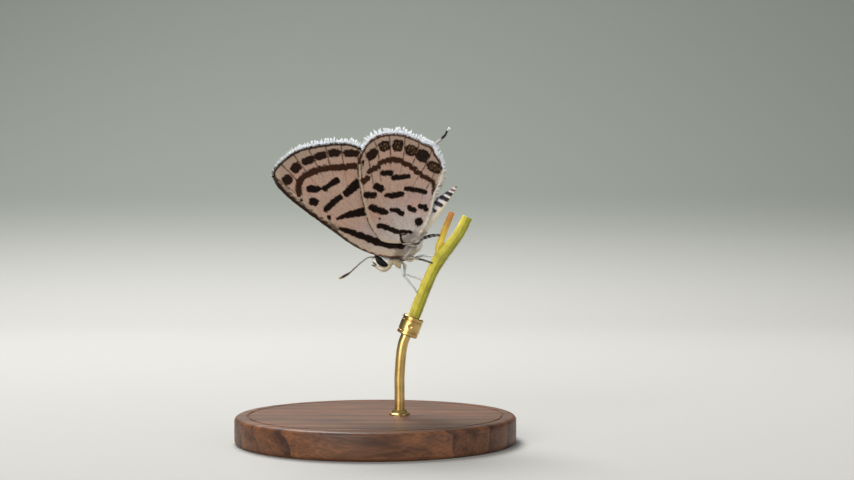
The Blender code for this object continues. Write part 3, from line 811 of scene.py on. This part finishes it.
def bodyTone(points, normals):
    ink = inks(bodyColours)
    x, y, z = points.T
    nz = normals[:, 2]
    rough = ripple(x + y * 0.6, z - y * 0.4, 0.5)
    fore = fade(-1.62, -1.4, x) * ease(-2.3, -2.05, x) * fade(-0.1, 0.1, z)
    colour = layered(
        ink, "thoraxSide", ("thoraxBack", ease(0.35, 0.8, nz + rough * 0.2)),
        ("thoraxBelly", fade(-0.62, -0.3, nz + rough * 0.15)), ("coxa", fore))
    for streak in ([(-2.0, 0.5), (-1.72, 0.1), (-1.5, -0.14)],
                   [(-1.5, 0.02), (-1.36, -0.34), (-1.3, -0.8)]):
        shade = chainDistance(x, z, streak, [0.06, 0.1, 0.07])
        colour = mix(colour, ink["brown"], fade(-0.04, 0.08, shade + rough * 0.06) * 0.9)
    # soft brown patches on the flanks beside the wing roots are painted shade
    shadePatches = ripple(x * 0.6, z * 1.6, 0.8) * fade(0.2, 0.6, x) * (abs(y) > 0.3)
    ruff = np.exp(-((x - 0.75) / 0.7) ** 2 - ((z + 0.75) / 0.42) ** 2)
    colour = layered(ink, colour, ("brown", np.clip(shadePatches - 0.2, 0, 1) * (abs(z + 0.5) < 0.4)),
                     ("fluff", ease(0.2, 0.6, ruff)))
    # abdomen: pale sides with leaning dark bars, cream below, dusky above
    back = layered(ink, "abdomenSide", ("abdomenBelly", fade(-0.4, -0.05, nz + rough * 0.1)),
                   ("abdomenBack", ease(0.55, 0.9, nz) * 0.7))
    for at, wide, tall, tone in body["bars"]:
        lean = abs(x - at + (z - 0.22) * 0.3 + rough * 0.03) / wide * 2
        bar = ((lean ** 3 + (abs(z - 0.24) / tall * 2) ** 3) ** (1 / 3) - 1) * wide / 2
        back = mix(back, ink[tone], fade(-0.03, 0.03, bar))
    colour = mix(colour, back, ease(1.3, 1.7, x))
    # head: white face and eye rims, dusky crown, cream palps with dark tips
    onPalp = fade(0.2, 0.28, palpDistance(points)) * (z < 1.0) * np.maximum(
        fade(-2.98, -2.9, x), fade(0.1, 0.3, z))
    front = layered(
        ink, "frons", ("crown", ease(0.55, 0.9, nz) * 0.8),
        ("thoraxBelly", fade(-0.1, 0.2, z)), ("white", fade(1.1, 1.4, eyeDepth(points))),
        ("palp", onPalp), ("palpTip", onPalp * ease(0.55, 0.68, z)))
    return mix(front, colour, ease(-2.12, -1.9, x))


def sampleSkin(mesh, count, density):
    mesh.calc_loop_triangles()
    corners = np.zeros(len(mesh.loop_triangles) * 3, int)
    mesh.loop_triangles.foreach_get("vertices", corners)
    corners = corners.reshape(-1, 3)
    a, b, c = readVerts(mesh)[corners.T]
    weight = np.linalg.norm(np.cross(b - a, c - a), axis=1) * density((a + b + c) / 3)
    pick = dice.choice(len(corners), count, p=weight / weight.sum())
    u, v = dice.random(count), dice.random(count)
    flip = u + v > 1
    u[flip], v[flip] = 1 - u[flip], 1 - v[flip]
    where = a[pick] + (b - a)[pick] * u[:, None] + (c - a)[pick] * v[:, None]
    return where, unit(readVerts(mesh, "normal")[corners[pick]].mean(axis=1))


# "from" and "to" are where a coat begins and ends, and "way" is how it lies
coats = {
    "head": {"count": 5200, "from": -4, "to": -2.0, "way": (0.8, 0, 0.35), "lift": 0.4,
             "long": 0.14, "wide": 0.012, "slot": "body_hair"},
    "thorax": {"count": 8200, "from": -2.1, "to": 1.6, "way": (1, 0, 0.05), "lift": 0.3,
               "long": 0.26, "wide": 0.013, "slot": "body_hair"},
    "abdomen": {"count": 5400, "from": 1.3, "to": 7, "way": (1, 0, 0), "lift": 0.12,
                "long": 0.17, "wide": 0.019, "slot": "abdomen_scales"},
}


def groom(name, look):
    def density(p):  # none on the eyes, more on the flanks
        along = (p[:, 0] > look["from"]) & (p[:, 0] < look["to"])
        share = (along & (eyeDepth(p) > 1.04)).astype(float)
        flank = abs(p[:, 2] + 0.45 - 0.2 * p[:, 0]) < 0.4
        return share * np.where(flank & (abs(p[:, 1]) > 0.3), 1.8, 1.0)

    count = look["count"]
    roots, normals = sampleSkin(bodySkin.data, count, density)
    lie = np.array(look["way"]) + dice.normal(0, 0.16, roots.shape)
    x, y, z = roots.T
    under = fade(-0.75, -0.2, normals[:, 2])
    longs = look["long"] * dice.uniform(0.6, 1.15, count)
    lifts = look["lift"] * dice.uniform(0.5, 1.5, count)
    if name == "head":
        onPalp = (z < 0.12) | (x < -2.99)
        up = z[onPalp]
        lie[onPalp] = np.stack([-(up + 0.35) * 0.6 - 0.35, up * 0, 0.2 + (up + 0.3)], 1) + (
            dice.normal(0, 0.12, (onPalp.sum(), 3)))
        longs[onPalp] *= 1.4
    if name == "thorax":
        ruff = np.exp(-((x - 0.85) / 0.6) ** 2 - ((z + 0.75) / 0.45) ** 2)
        longs *= 1 + 0.55 * under * (x > -1.2) + 0.9 * ruff
        lifts = lifts + 0.2 * under + 0.6 * ruff
        lie[:, 2] -= 0.5 * under
    lie = lie - normals * (lie * normals).sum(axis=1)[:, None]
    aims = unit(unit(lie) + normals * lifts[:, None])
    bends = -normals * (lifts * 0.35)[:, None]
    colours = bodyTone(roots, normals) * dice.uniform(0.85, 1.12, count)[:, None]
    homes = roundHomes((x + 3.4) / 10, np.arctan2(y, z - 0.1) / fullTurn + 0.5)
    coat = buildTufts(name + "Coat", roots - normals * 0.02, aims, longs,
                      look["wide"] * dice.uniform(0.7, 1.3, count), bends, colours, homes,
                      bodyHair)
    own(coat, look["slot"])


bodySkin = buildSkin()
for name, look in coats.items():
    groom(name, look)
skinPoints = readVerts(bodySkin.data)
paint(bodySkin.data, bodyTone(skinPoints, readVerts(bodySkin.data, "normal")))
moveVerts(bodySkin.data, skinPoints)
own(bodySkin, "body_hair", "head", "thorax", "abdomen", "palp_left", "palp_right")
print("body")


def compoundEye():
    # a clear dark cornea over hundreds of lenses: near black, glossy, finely pebbled
    material, tree, place = newMaterial("corneaOfCompoundEye")
    lens = addNode(tree, "TexVoronoi", {  # a little coarser than real lenses, so that they show
        "Vector": place, "Scale": 1 / (0.034 * mm), "Randomness": 0.35})
    tone = addNode(tree, "MapRange", {
        "Vector": lens.outputs["Color"], 9: linear("#060404"), 10: linear("#120b09")},
        data_type="FLOAT_VECTOR")
    giveSurface(tree, tone.outputs["Vector"], lens, 0.35, 0.006, {
        "Roughness": 0.42, "Specular IOR Level": 0.16, "Coat Weight": 0.05,
        "Coat Roughness": 0.1}, invert=True)
    return material


def buildEye(side, word):
    bpy.ops.object.select_all(action="DESELECT")
    bpy.ops.mesh.primitive_ico_sphere_add(subdivisions=5, radius=1)
    ball = bpy.context.object
    ball.name = ball.data.name = "eye" + word.capitalize()
    at, half = body["eye"]
    x, y, z = readVerts(ball.data).T
    narrow = 1 - body["eyeNarrow"] * ease(0, 0.95, z)
    moveVerts(ball.data, np.stack([
        at[0] + x * half[0] * narrow - body["eyeForward"] * (1 - z ** 2),
        side * at[1] + y * half[1], at[2] + z * half[2]], 1))
    dress(ball.data, cornea)
    own(ball, "eye", "eye_" + word)


cornea = compoundEye()
buildEye(-1, "left")
buildEye(1, "right")
print("eyes")

feeler = {
    "line": [(-2.52, 0.3, 1.16), (-2.92, 0.6, 1.54), (-3.6, 1.12, 1.72), (-4.25, 1.62, 1.79),
        (-4.88, 2.1, 1.86), (-5.7, 2.74, 2.12)],
    "rings": 30, "stretchRight": 1.06, "steps": 150,
}
feelerColours = {"dark": "#2e2418", "pale": "#c9c2ac", "club": "#33241a", "tip": "#8f7a4e"}
hipAndKnee = [(0.28, 0.34, -0.76), (0.3, 0.8, -0.72), (0.26, 1.25, -0.56), (-0.22, 1.42, 0.18),
              (0.02, 1.56, -0.02), (0.62, 1.3, -0.72)]  # of a hind leg
legs = {
    "foreleg_left": ([(-1.5, -0.26, -0.85), (-1.66, -0.5, -0.98), (-2.08, -0.72, -1.53),
        (-2.24, -0.66, -2.67), (-2.4, -0.4, -3.26)], "pale"),
    "foreleg_right": ([(-1.45, 0.26, -0.85), (-1.43, 0.5, -1.11), (-2.0, 0.72, -1.5), (-1.6, 0.62, -2.4),
        (-1.36, 0.36, -3.02)], "pale"),
    "midleg_left": ([(-0.8, -0.32, -0.92), (-0.6, -0.8, -1.04), (-0.36, -0.98, -1.4),
        (-0.08, -0.75, -1.92), (0.2, -0.42, -2.58)], "dark"),
    "midleg_right": ([(-0.8, 0.32, -0.92), (-0.76, 0.74, -1.08), (-0.36, 0.9, -1.32), (0.13, 0.7, -1.64),
        (0.78, 0.4, -2.5)], "pale"),
    "hindleg_left": (mirrored(hipAndKnee, -1) + [(1.05, -0.95, -0.66), (1.8, -0.5, -1.13),
        (2.32, -0.18, -1.55)], "dark"),
    "hindleg_right": (hipAndKnee + [(1.3, 0.85, -0.66), (1.92, 0.45, -1.05), (2.34, 0.18, -1.5)],
        "dark"),
}
legShape = {"steps": 90, "knee": 0.38, "toesFrom": 0.62, "toes": 13}  # by shares of its length
legColours = {"pale": "#cdd4d3", "dark": "#1f1813", "ring": "#cfc8bb", "joint": "#6a5a4c",
              "thigh": "#b0a497"}
tailColours = {"dark": "#15100e", "pale": "#f4f1ea"}


def buildLimb(name, line, radii, sides, toneAt, slot, node):
    verts, faces = tube(line, radii, sides)
    piece = addPiece(name, toWorld(verts), faces, cuticle)
    tone = toneAt(np.repeat(np.linspace(0, 1, len(line)), sides),
                  np.tile(np.arange(sides) * fullTurn / sides, len(line)))
    paint(piece.data, np.concatenate([tone, tone[:1], tone[-1:]]))
    own(piece, slot, node)


def buildFeeler(side, word):
    line = smoothPath(mirrored(feeler["line"], side), feeler["steps"])
    if side > 0:
        line = line[:1] + (line - line[:1]) * feeler["stretchRight"]
    share = np.linspace(0, 1, len(line))
    swell = 0.048 + 0.006 * np.sin(share * feeler["rings"] % 1 * math.pi) - 0.008 * ease(0, 0.7, share)
    clubSize = 0.045 * ease(0.72, 0.84, share) * (1 - ease(0.965, 1.0, share) * 0.9)
    swell = (swell + clubSize) * (1 - 0.25 * ease(0.965, 1.0, share))
    swell[:4] *= (1.5, 1.6, 1.5, 1.2)  # the thicker first joint

    def toneAt(s, turnBy):
        ringed = (s * feeler["rings"] % 1 < 0.36) & (s < 0.74)
        return layered(inks(feelerColours), "dark", ("pale", ringed * 0.9),
                       ("club", ease(0.74, 0.8, s)), ("tip", ease(0.9, 0.97, s)))

    buildLimb("feeler" + word.capitalize(), line, swell, 14, toneAt, "dark_scales",
              "antenna_" + word)


def coatAlong(name, line, radii, count, long, wide, toneAt, slot, outBy=0.15):
    share = dice.random(count)
    index = share * (len(line) - 1)
    at = pointsAt(line, index)
    go = unit(pointsAt(unit(np.gradient(line, axis=0)), index))
    turnBy = dice.uniform(0, fullTurn, count)
    first = unit(np.cross(go, [[0.0, 1, 0]]))
    out = first * np.cos(turnBy)[:, None] + np.cross(go, first) * np.sin(turnBy)[:, None]
    girth = np.interp(index, np.arange(len(line)), radii)
    aims = go + out * outBy + dice.normal(0, 0.06, at.shape)
    longs = long * dice.uniform(0.7, 1.2, count)
    wides = wide * dice.uniform(0.8, 1.2, count)
    tone = toneAt(share, turnBy) * dice.uniform(0.88, 1.1, count)[:, None]
    coat = buildTufts(name, at + out * (girth * 0.9)[:, None], aims, longs, wides, out * 0.0, tone,
                      roundHomes(share, turnBy / fullTurn), bodyHair)
    own(coat, slot)


def buildLeg(name, knots, tone):
    # straight lengths that meet at rounded joints
    line = evenly(np.array(knots), legShape["steps"])
    for _ in range(3):
        line[1:-1] = (line[:-2] + line[1:-1] * 2 + line[2:]) / 4
    knee, toesFrom, toes = (legShape[key] for key in ("knee", "toesFrom", "toes"))
    share = np.linspace(0, 1, len(line))
    radii = 0.112 - 0.03 * ease(0.1, 0.42, share) - 0.012 * ease(0.55, 0.75, share)
    radii = (radii + np.exp(-((share - knee) / 0.03) ** 2) * 0.012 + 0.006 * np.cos(
        np.clip(share - toesFrom, 0, 1) * fullTurn * toes) * (share > toesFrom))
    radii = radii * (1 - 0.5 * ease(0.97, 1.0, share))
    ink = inks(legColours)

    def toneAt(s, turnBy):
        base, dusk, edges = ("thigh", 0.95, 0.95) if tone == "dark" else ("pale", 0.1, 0.3)
        ringed = ((s - toesFrom) * toes % 1 < 0.25) & (s > toesFrom)
        side = ease(0.5, 0.75, abs(np.cos(turnBy))) * edges
        return layered(ink, base, ("joint", np.exp(-((s - knee) / 0.03) ** 2) * 0.6),
                       ("dark", np.maximum(ease(0.4, 0.55, s) * dusk, side)),
                       ("ring", ringed * 0.5))

    word = name.split("_")[0] + name.split("_")[1].capitalize()
    buildLimb(word, line, radii, 12, toneAt, "leg_scales", name)
    coatAlong(word + "Scales", line, radii, 700, 0.1, 0.012, toneAt, "leg_scales")
    go, claws = unit(line[-1] - line[-4]), ([], [])
    for apart in (-0.03, 0.03):
        hook = [line[-2], line[-1] + go * 0.05 + (0, apart, 0),
                line[-1] + go * 0.06 + (0.05, apart * 1.4, -0.04)]
        verts, faces = tube(smoothPath(hook, 6), spread([0.016, 0.012, 0.004], 7), 8)
        claws[1].extend(tuple(v + len(claws[0]) for v in f) for f in faces)
        claws[0].extend(verts)
    claw = addPiece(word + "Claws", toWorld(claws[0]), claws[1], cuticle)
    paint(claw.data, ink["dark"])
    own(claw, "leg_scales")


def buildTail(side, word):
    y = 0.33 * side
    line = smoothPath([(7.05, y, 3.72), (7.8, y, 3.72), (8.26, y * 1.05, 3.64),
                       (8.67, y * 1.1, 3.61), (9.04, y * 1.1, 3.69), (9.3, y * 1.1, 3.72)], 60)
    radii = 0.058 - 0.022 * ease(0.3, 1.0, np.linspace(0, 1, len(line)))

    def toneAt(s, turnBy):
        middle = ease(0.1, 0.2, s) * fade(0.46, 0.54, s) * (
            0.95 - 0.7 * ease(0.6, 0.9, abs(np.cos(turnBy))))
        pale = np.maximum(middle, ease(0.84, 0.92, s))
        return layered(inks(tailColours), "dark", ("pale", pale))

    name = "tail" + word.capitalize()
    buildLimb(name, line, radii, 10, toneAt, "dark_scales", "hindwing_tail_" + word)
    coatAlong(name + "Hair", line, radii, 620, 0.17, 0.011, toneAt, "dark_scales", 0.32)


for side, word in ((-1, "left"), (1, "right")):
    buildFeeler(side, word)
    buildTail(side, word)
for name, (knots, tone) in legs.items():
    buildLeg(name, knots, tone)
print("feelers, legs and tails")

# Perch: a cut length of living stem with the stalk of a seed head, drawn upright in mm.
plants = {
    "perchStem": {
        "node": "perch_stem", "radii": (0.52, 0.42), "ridges": 9, "ridgeDepth": 0.045,
        "swelling": (15.1, 0.1), "ripe": 0, "down": 4200,
        "line": [(2.76, 9.28), (3.35, 10.76), (3.95, 12.3), (4.58, 13.75), (5.25, 15.0),
                 (6.15, 16.1), (6.9, 17.15), (7.52, 18.38)]},
    "perchStalk": {
        "node": "perch_stalk", "radii": (0.31, 0.24), "ridges": 5, "ridgeDepth": 0.08,
        "swelling": (-9, 0), "ripe": 1, "down": 1400,
        "line": [(5.45, 14.9), (5.2, 15.3), (5.15, 15.75), (5.38, 16.5), (5.68, 17.38),
                 (6.26, 18.78)]},
}
plantColours = {"down": "#efe9b4", "stem": "#a39c22", "paintedHighlight": "#d8c94c", "groove": "#7c7d18",
                "pith": "#c9c88e", "bark": "#8f8a24", "stalk": "#c4ad38", "ripe": "#b0602a"}


def plantSkin():
    # waxy green epidermis over wet tissue: soft satin, some light passes through
    material, tree, place = newMaterial("livingStemEpidermis")
    stretch = addNode(tree, "Mapping", {
        "Vector": place, "Rotation": (0, math.radians(-24), 0), "Scale": (1, 1, 0.16)})
    fibre = addNode(tree, "TexNoise", {
        "Vector": stretch, "Scale": 1 / (0.085 * mm), "Detail": 5.0})
    patch = addNode(tree, "TexNoise", {
        "Vector": place, "Scale": 1 / (0.9 * mm), "Detail": 2.0})
    both = addNode(tree, "Math", {0: fibre, 1: 0.55, 2: patch}, operation="MULTIPLY_ADD")
    shade = addNode(tree, "MapRange", {
        "Value": both, "From Min": 0.55, "From Max": 1.0, "To Min": 0.72, "To Max": 1.22})
    tinted = addNode(tree, "VectorMath", {
        0: addNode(tree, "VertexColor", {}, layer_name="tone"), "Scale": shade}, operation="SCALE")
    giveSurface(tree, tinted, fibre, 0.9, 0.05, {
        "Roughness": 0.48, "Specular IOR Level": 0.35, "Subsurface Weight": 0.1,
        "Subsurface Radius": (0.2 * mm, 0.3 * mm, 0.06 * mm)})
    return material


def buildPlant(name, look):
    steps, sides, ripe, ink = 110, 54, look["ripe"], inks(plantColours)
    line = smoothPath([(x, 0, z) for x, z in look["line"]], steps)
    share = np.linspace(0, 1, steps + 1)
    (thick, thin), (bulgeAt, bulge) = look["radii"], look["swelling"]
    girth = thick + (thin - thick) * share + bulge * np.exp(-((line[:, 2] - bulgeAt) / 0.7) ** 2)
    girth = girth * (1 + 0.015 * np.sin(share * 37) + 0.01 * np.sin(share * 91))

    def groove(a):
        return (0.5 - 0.5 * np.cos(a * look["ridges"])) ** 2

    verts, faces = tube(line, girth, sides, lambda a: 1 - look["ridgeDepth"] * groove(a))
    verts, faces = verts[:-2], faces[:steps * sides]
    side = (line[0, 0] - verts[:sides, 0]) / girth[0]  # how far each point round the stem faces -x: that side gets a painted highlight, the other side painted shade
    # lighter on one side and darker on the other: painted highlight and painted shade, besides the darker
    # grooves
    tones = np.tile(layered(
        ink, "stem", ("groove", groove(np.arange(sides) * fullTurn / sides) * 0.7),
        ("paintedHighlight", np.clip(side + 0.15, 0, 1) * 0.85), ("groove", np.clip(-side, 0, 1) * 0.6)),
        (steps + 1, 1))
    bare = np.exp(-((line[:, 2] - bulgeAt) / 0.16) ** 2)
    tones = layered(ink, tones, *((key, np.repeat(part, sides)) for key, part in (
        ("stalk", ease(0.0, 0.4, share) * ripe), ("ripe", ease(0.35, 1.0, share) * 0.85 * ripe),
        ("bark", bare * 0.6))))
    skinCount = len(verts)
    # each cut end gets a rim of bark, a ring of wood and pale pith
    for middle, start in ((line[0], 0), (line[-1], skinCount - sides)):
        first, edge = len(verts), verts[start:start + sides]
        for size, key in ((0.93, "bark"), (0.9, "groove"), (0.72, "groove"), (0.66, "pith"),
                          (0.2, "pith")):
            verts = np.concatenate([verts, middle + (edge - middle) * size])
            tones = np.concatenate([tones, np.tile(ink[key], (sides, 1))])
        verts, tones = np.concatenate([verts, [middle]]), np.concatenate([tones, [ink["pith"]]])
        starts = [start, *range(first, len(verts) - 1, sides)]
        end = bridge(starts, sides) + fan(starts[-1], sides, len(verts) - 1)
        faces += end if start else flipped(end)
    piece = addPiece(name, verts * mm, faces, epidermis)
    paint(piece.data, tones)
    own(piece, "green_stem", look["node"])
    # short stiff down that catches the light along the edges
    pick = dice.integers(2 * sides, skinCount - 2 * sides, look["down"])
    row, column = pick // sides, pick % sides
    root = verts[pick]
    away = unit(root - line[row])
    slope = unit(np.gradient(line, axis=0))[row]
    aims = away + slope * 0.55 + dice.normal(0, 0.25, root.shape)
    root = root + slope * dice.uniform(-0.06, 0.06, len(pick))[:, None] - away * 0.01
    down = buildTufts(
        name + "Down", root, aims, dice.uniform(0.05, 0.13, len(pick)),
        np.full(len(pick), 0.0055), slope * 0.2,
        mix(tones[pick], ink["down"], np.full(len(pick), 0.7)),
        roundHomes(row / steps, column / sides), bodyHair, level=False)
    own(down, "green_stem")


epidermis = plantSkin()
for name, look in plants.items():
    buildPlant(name, look)
print("perch")


def turnedWalnut():
    # oiled walnut, turned and sanded: dark lines of grain, open pores, a low sheen
    material, tree, place = newMaterial("oiledWalnut")
    lay = addNode(tree, "Mapping", {
        "Vector": place, "Rotation": (0.1, 0.06, 0.2), "Scale": (0.12, 1, 1)})
    warp = addNode(tree, "TexNoise", {"Vector": lay, "Scale": 1 / (5 * mm), "Detail": 3.0})
    bent = addNode(tree, "VectorMath", {
        0: warp.outputs["Color"], 1: (0.0035,) * 3, 2: lay}, operation="MULTIPLY_ADD")
    rings = addNode(tree, "TexWave", {
        "Vector": bent, "Scale": 1 / (8 * mm), "Distortion": 3.5, "Detail": 3.0,
        "Detail Scale": 1.2}, wave_type="BANDS", bands_direction="Y", wave_profile="SAW")
    streaks = addNode(tree, "TexNoise", {
        "Vector": bent, "Scale": 1 / (0.9 * mm), "Detail": 5.0, "Roughness": 0.6})
    figure = addNode(tree, "Mix", {0: 0.22, 2: streaks, 3: rings.outputs["Fac"]})
    pores = addNode(tree, "TexNoise", {"Vector": lay, "Scale": 1 / (0.16 * mm), "Detail": 2.0})
    brown = addNode(tree, "ValToRGB", {"Fac": figure})
    for stop, at, code in zip(brown.color_ramp.elements, (0.3, 0.7), ("#382115", "#7a4f32")):
        stop.position, stop.color = at, rgba(code)
    dark = addNode(tree, "MapRange", {
        "Value": pores, "From Min": 0.35, "From Max": 0.6, "To Min": 0.72, "To Max": 1.08})
    tinted = addNode(tree, "VectorMath", {0: brown, "Scale": dark}, operation="SCALE")
    giveSurface(tree, tinted, pores, 0.25, 0.05, {
        "Roughness": 0.5, "Specular IOR Level": 0.3, "Coat Weight": 0.08, "Coat Roughness": 0.25})
    return material


def brushedBrass():
    # drawn brass rod rubbed with fine paper: warm metal with faint rings round it
    material, tree, place = newMaterial("brushedBrass")
    squash = addNode(tree, "Mapping", {"Vector": place, "Scale": (0.08, 0.08, 1)})
    lines = addNode(tree, "TexNoise", {
        "Vector": squash, "Scale": 1 / (0.08 * mm), "Detail": 3.0})
    stain = addNode(tree, "TexNoise", {"Vector": place, "Scale": 1 / (1.4 * mm), "Detail": 3.0})
    warm = addNode(tree, "ValToRGB", {"Fac": stain})
    for stop, at, code in zip(warm.color_ramp.elements, (0.35, 0.65), ("#a98a4e", "#d0b272")):
        stop.position, stop.color = at, rgba(code)
    giveSurface(tree, warm, lines, 0.3, 0.01, {"Metallic": 1.0, "Roughness": 0.32})
    return material


stand = {
    "radius": 11.5, "height": 2.2, "edge": 0.35, "ring": 10.4, "ringDepth": 0.09,
    "foot": 1.5, "footGap": 0.12, "rodRadius": 0.42, "ferrule": 0.85, "ferruleHeight": 0.42,
    "rodLine": [(1.95, 1.05), (1.95, 4.0), (1.95, 5.4), (2.2, 7.87), (2.8, 9.38)],
    "sleeveOut": 0.87, "sleeveIn": 0.6, "sleeveLong": 1.6, "screw": 0.2,
}


def turned(rows, sides):  # rings of points, from pairs of a radius and a height
    turnBy = np.arange(sides) * fullTurn / sides
    rows = np.array(rows, float)
    return np.stack([rows[:, :1] * np.cos(turnBy), rows[:, :1] * np.sin(turnBy),
                     np.repeat(rows[:, 1:], sides, axis=1)], 2).reshape(-1, 3)


def lathe(profile, sides):  # a closed turned shape, from axis to axis
    return capped(turned(profile[1:-1], sides), sides, *((0, 0, profile[k][1]) for k in (0, -1)))


def rounded(corner, radius, start, steps=6):  # a quarter round that begins turned by start
    return [(corner[0] + radius * math.cos(a), corner[1] + radius * math.sin(a))
            for a in np.linspace(start, start + math.pi / 2, steps + 1)]


def addTurned(name, verts, faces, material, degrees, slot, *nodes):
    piece = addPiece(name, verts * mm, faces, material)
    choose(piece)
    bpy.ops.object.shade_smooth_by_angle(angle=math.radians(degrees))
    own(piece, slot, *nodes)


def buildStand():
    r, h, e = stand["radius"], stand["height"], stand["edge"]
    ring, deep, gap = stand["ring"], stand["ringDepth"], stand["footGap"]
    profile = [(0, gap), (r - stand["foot"] - 0.1, gap), (r - stand["foot"] + 0.1, 0)]
    profile += rounded((r - e, e), e, -math.pi / 2) + rounded((r - e, h - e), e, 0)
    profile += [(ring + 0.12, h), (ring + 0.05, h - deep), (ring - 0.05, h - deep),
                (ring - 0.12, h), (ring - 2, h), (4, h), (0, h)]
    addTurned("woodenBase", *lathe(profile, 160), turnedWalnut(), 35, "base_wood", "stand_base")
    line = smoothPath([(x, 0, z) for x, z in stand["rodLine"]], 60)
    addTurned("bentRod", *tube(line, np.full(61, stand["rodRadius"]), 40), brass, 50, "rod_brass",
              "stand_rod")
    # a turned ferrule where the rod enters the wood
    f, tall = stand["ferrule"], stand["ferruleHeight"]
    verts, faces = lathe([
        (0, h - 0.06), (f, h - 0.06), (f, h + 0.1), (f - 0.08, h + 0.16), (f - 0.16, h + 0.18),
        (f - 0.26, h + tall - 0.08), (f - 0.32, h + tall), (0, h + tall)], 72)
    verts[:, 0] += stand["rodLine"][0][0]
    addTurned("rodFerrule", verts, faces, brass, 40, "rod_brass")
    # the sleeve: a bored, chamfered collar with two turned grooves and a grub screw
    out, hole, half = stand["sleeveOut"], stand["sleeveIn"], stand["sleeveLong"] / 2
    c, g, bore = 0.07, 0.05, 0.43
    wall = [(hole, half - c), (hole, -half + 0.3), (bore, -half + 0.26), (bore, -half + c / 2),
            (bore + c, -half), (out - c, -half), (out, -half + c)]
    for at in (-half + 0.34, half - 0.34):
        wall += [(out, at - 0.07), (out - g, at - 0.03), (out - g, at + 0.03), (out, at + 0.07)]
    wall += [(out, half - c), (out - c, half), (hole + c, half)]
    middle = np.array(middleOf(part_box("stand_sleeve")))
    (ax, az), (bx, bz) = plants["perchStem"]["line"][:2]
    tilt = np.array(Matrix.Rotation(math.atan2(bx - ax, bz - az), 3, "Y")).T
    faces = bridge([*range(0, len(wall) * 72, 72), 0], 72)
    addTurned("clampSleeve", turned(wall, 72) @ tilt + middle, faces, brass, 40, "rod_brass",
              "stand_sleeve")
    s = stand["screw"]
    verts, faces = lathe([(0, 0), (s, 0), (s, 0.1), (s - 0.03, 0.14), (0, 0.14)], 36)
    verts[(abs(verts[:, 1]) < 0.04) & (verts[:, 2] > 0.12), 2] -= 0.05  # its slot
    verts = verts @ np.array(Matrix.Rotation(math.pi / 2, 3, "X")).T + (0, 0.05 - out, 0)
    addTurned("grubScrew", verts @ tilt + middle, faces, brass, 40, "rod_brass")


brass = brushedBrass()
buildStand()
print("stand")

stage = {"near": -3.0, "bend": 0.16, "round": 0.2, "top": 0.75, "half": 4.0, "shadeTo": 0.03,
         "floor": "#a8a7a3", "wall": "#787d76"}  # in metres


def buildStage():
    # a sweep of matt paper, pale on the floor and shaded grey as it climbs
    arc = [(stage["bend"] + stage["round"] * math.sin(a), stage["round"] * (1 - math.cos(a)))
           for a in np.linspace(0, math.pi / 2, 25)]
    profile = [(stage["near"], 0)] + arc + [(stage["bend"] + stage["round"], stage["top"])]
    verts = [(x, y, z) for y, z in profile for x in (-stage["half"], stage["half"])]
    faces = [(2 * k, 2 * k + 1, 2 * k + 3, 2 * k + 2) for k in range(len(profile) - 1)]
    material, tree, place = newMaterial("paperSweep")
    split = addNode(tree, "SeparateXYZ", {"Vector": place})
    rise = addNode(tree, "MapRange", {
        "Value": split.outputs["Z"], "From Min": 0.0, "From Max": stage["shadeTo"]},
        interpolation_type="SMOOTHSTEP")
    tones = addNode(tree, "ValToRGB", {"Fac": rise})
    for stop, at, code in zip(tones.color_ramp.elements, (0, 1), (stage["floor"], stage["wall"])):
        stop.position, stop.color = at, rgba(code)
    plug(tree.nodes["Principled BSDF"], {"Base Color": tones, "Roughness": 0.9})
    sweep = addPiece("paperSweep", verts, faces, material)


lights = {  # places and sizes in metres, power in watts
    "key": {"at": (-0.3, -0.62, 0.24), "size": 0.45, "power": 4.3, "tint": "#fff8ef"},
    "fill": {"at": (0.5, -0.45, 0.16), "size": 0.5, "power": 1.2, "tint": "#eff3ff"},
    "back": {"at": (-0.06, 0.14, 0.28), "size": 0.14, "power": 1.5, "tint": "#ffffff"},
}
air = {"tint": "#e8ecf2", "strength": 0.35}


def buildLights():
    aimAt = Vector((0, 0, 0.015))
    for name, look in lights.items():
        data = bpy.data.lights.new(name, "AREA")
        data.energy = look["power"]
        data.size = look["size"]
        data.color = linear(look["tint"])
        lamp = linked(name, data)
        lamp.location = look["at"]
        lamp.rotation_euler = (aimAt - Vector(look["at"])).to_track_quat("-Z", "Y").to_euler()
    world = bpy.data.worlds.new("studioAir")
    bpy.context.scene.world = world
    world.use_nodes = True
    plug(world.node_tree.nodes["Background"], {
        "Color": rgba(air["tint"]), "Strength": air["strength"]})


camera = {"sideways": 4.2, "away": 120, "height": 16.5, "lens": 61.7}  # in mm


def buildCamera():
    data = bpy.data.cameras.new("camera")
    data.lens = camera["lens"]
    data.clip_start = 0.005
    eye = linked("camera", data)
    eye.location = (camera["sideways"] * mm, -camera["away"] * mm, camera["height"] * mm)
    eye.rotation_euler = (math.radians(90), 0, 0)
    bpy.context.scene.camera = eye


buildStage()
buildLights()
buildCamera()
bpy.context.scene.view_settings.view_transform = "Standard"
print("stage ready")
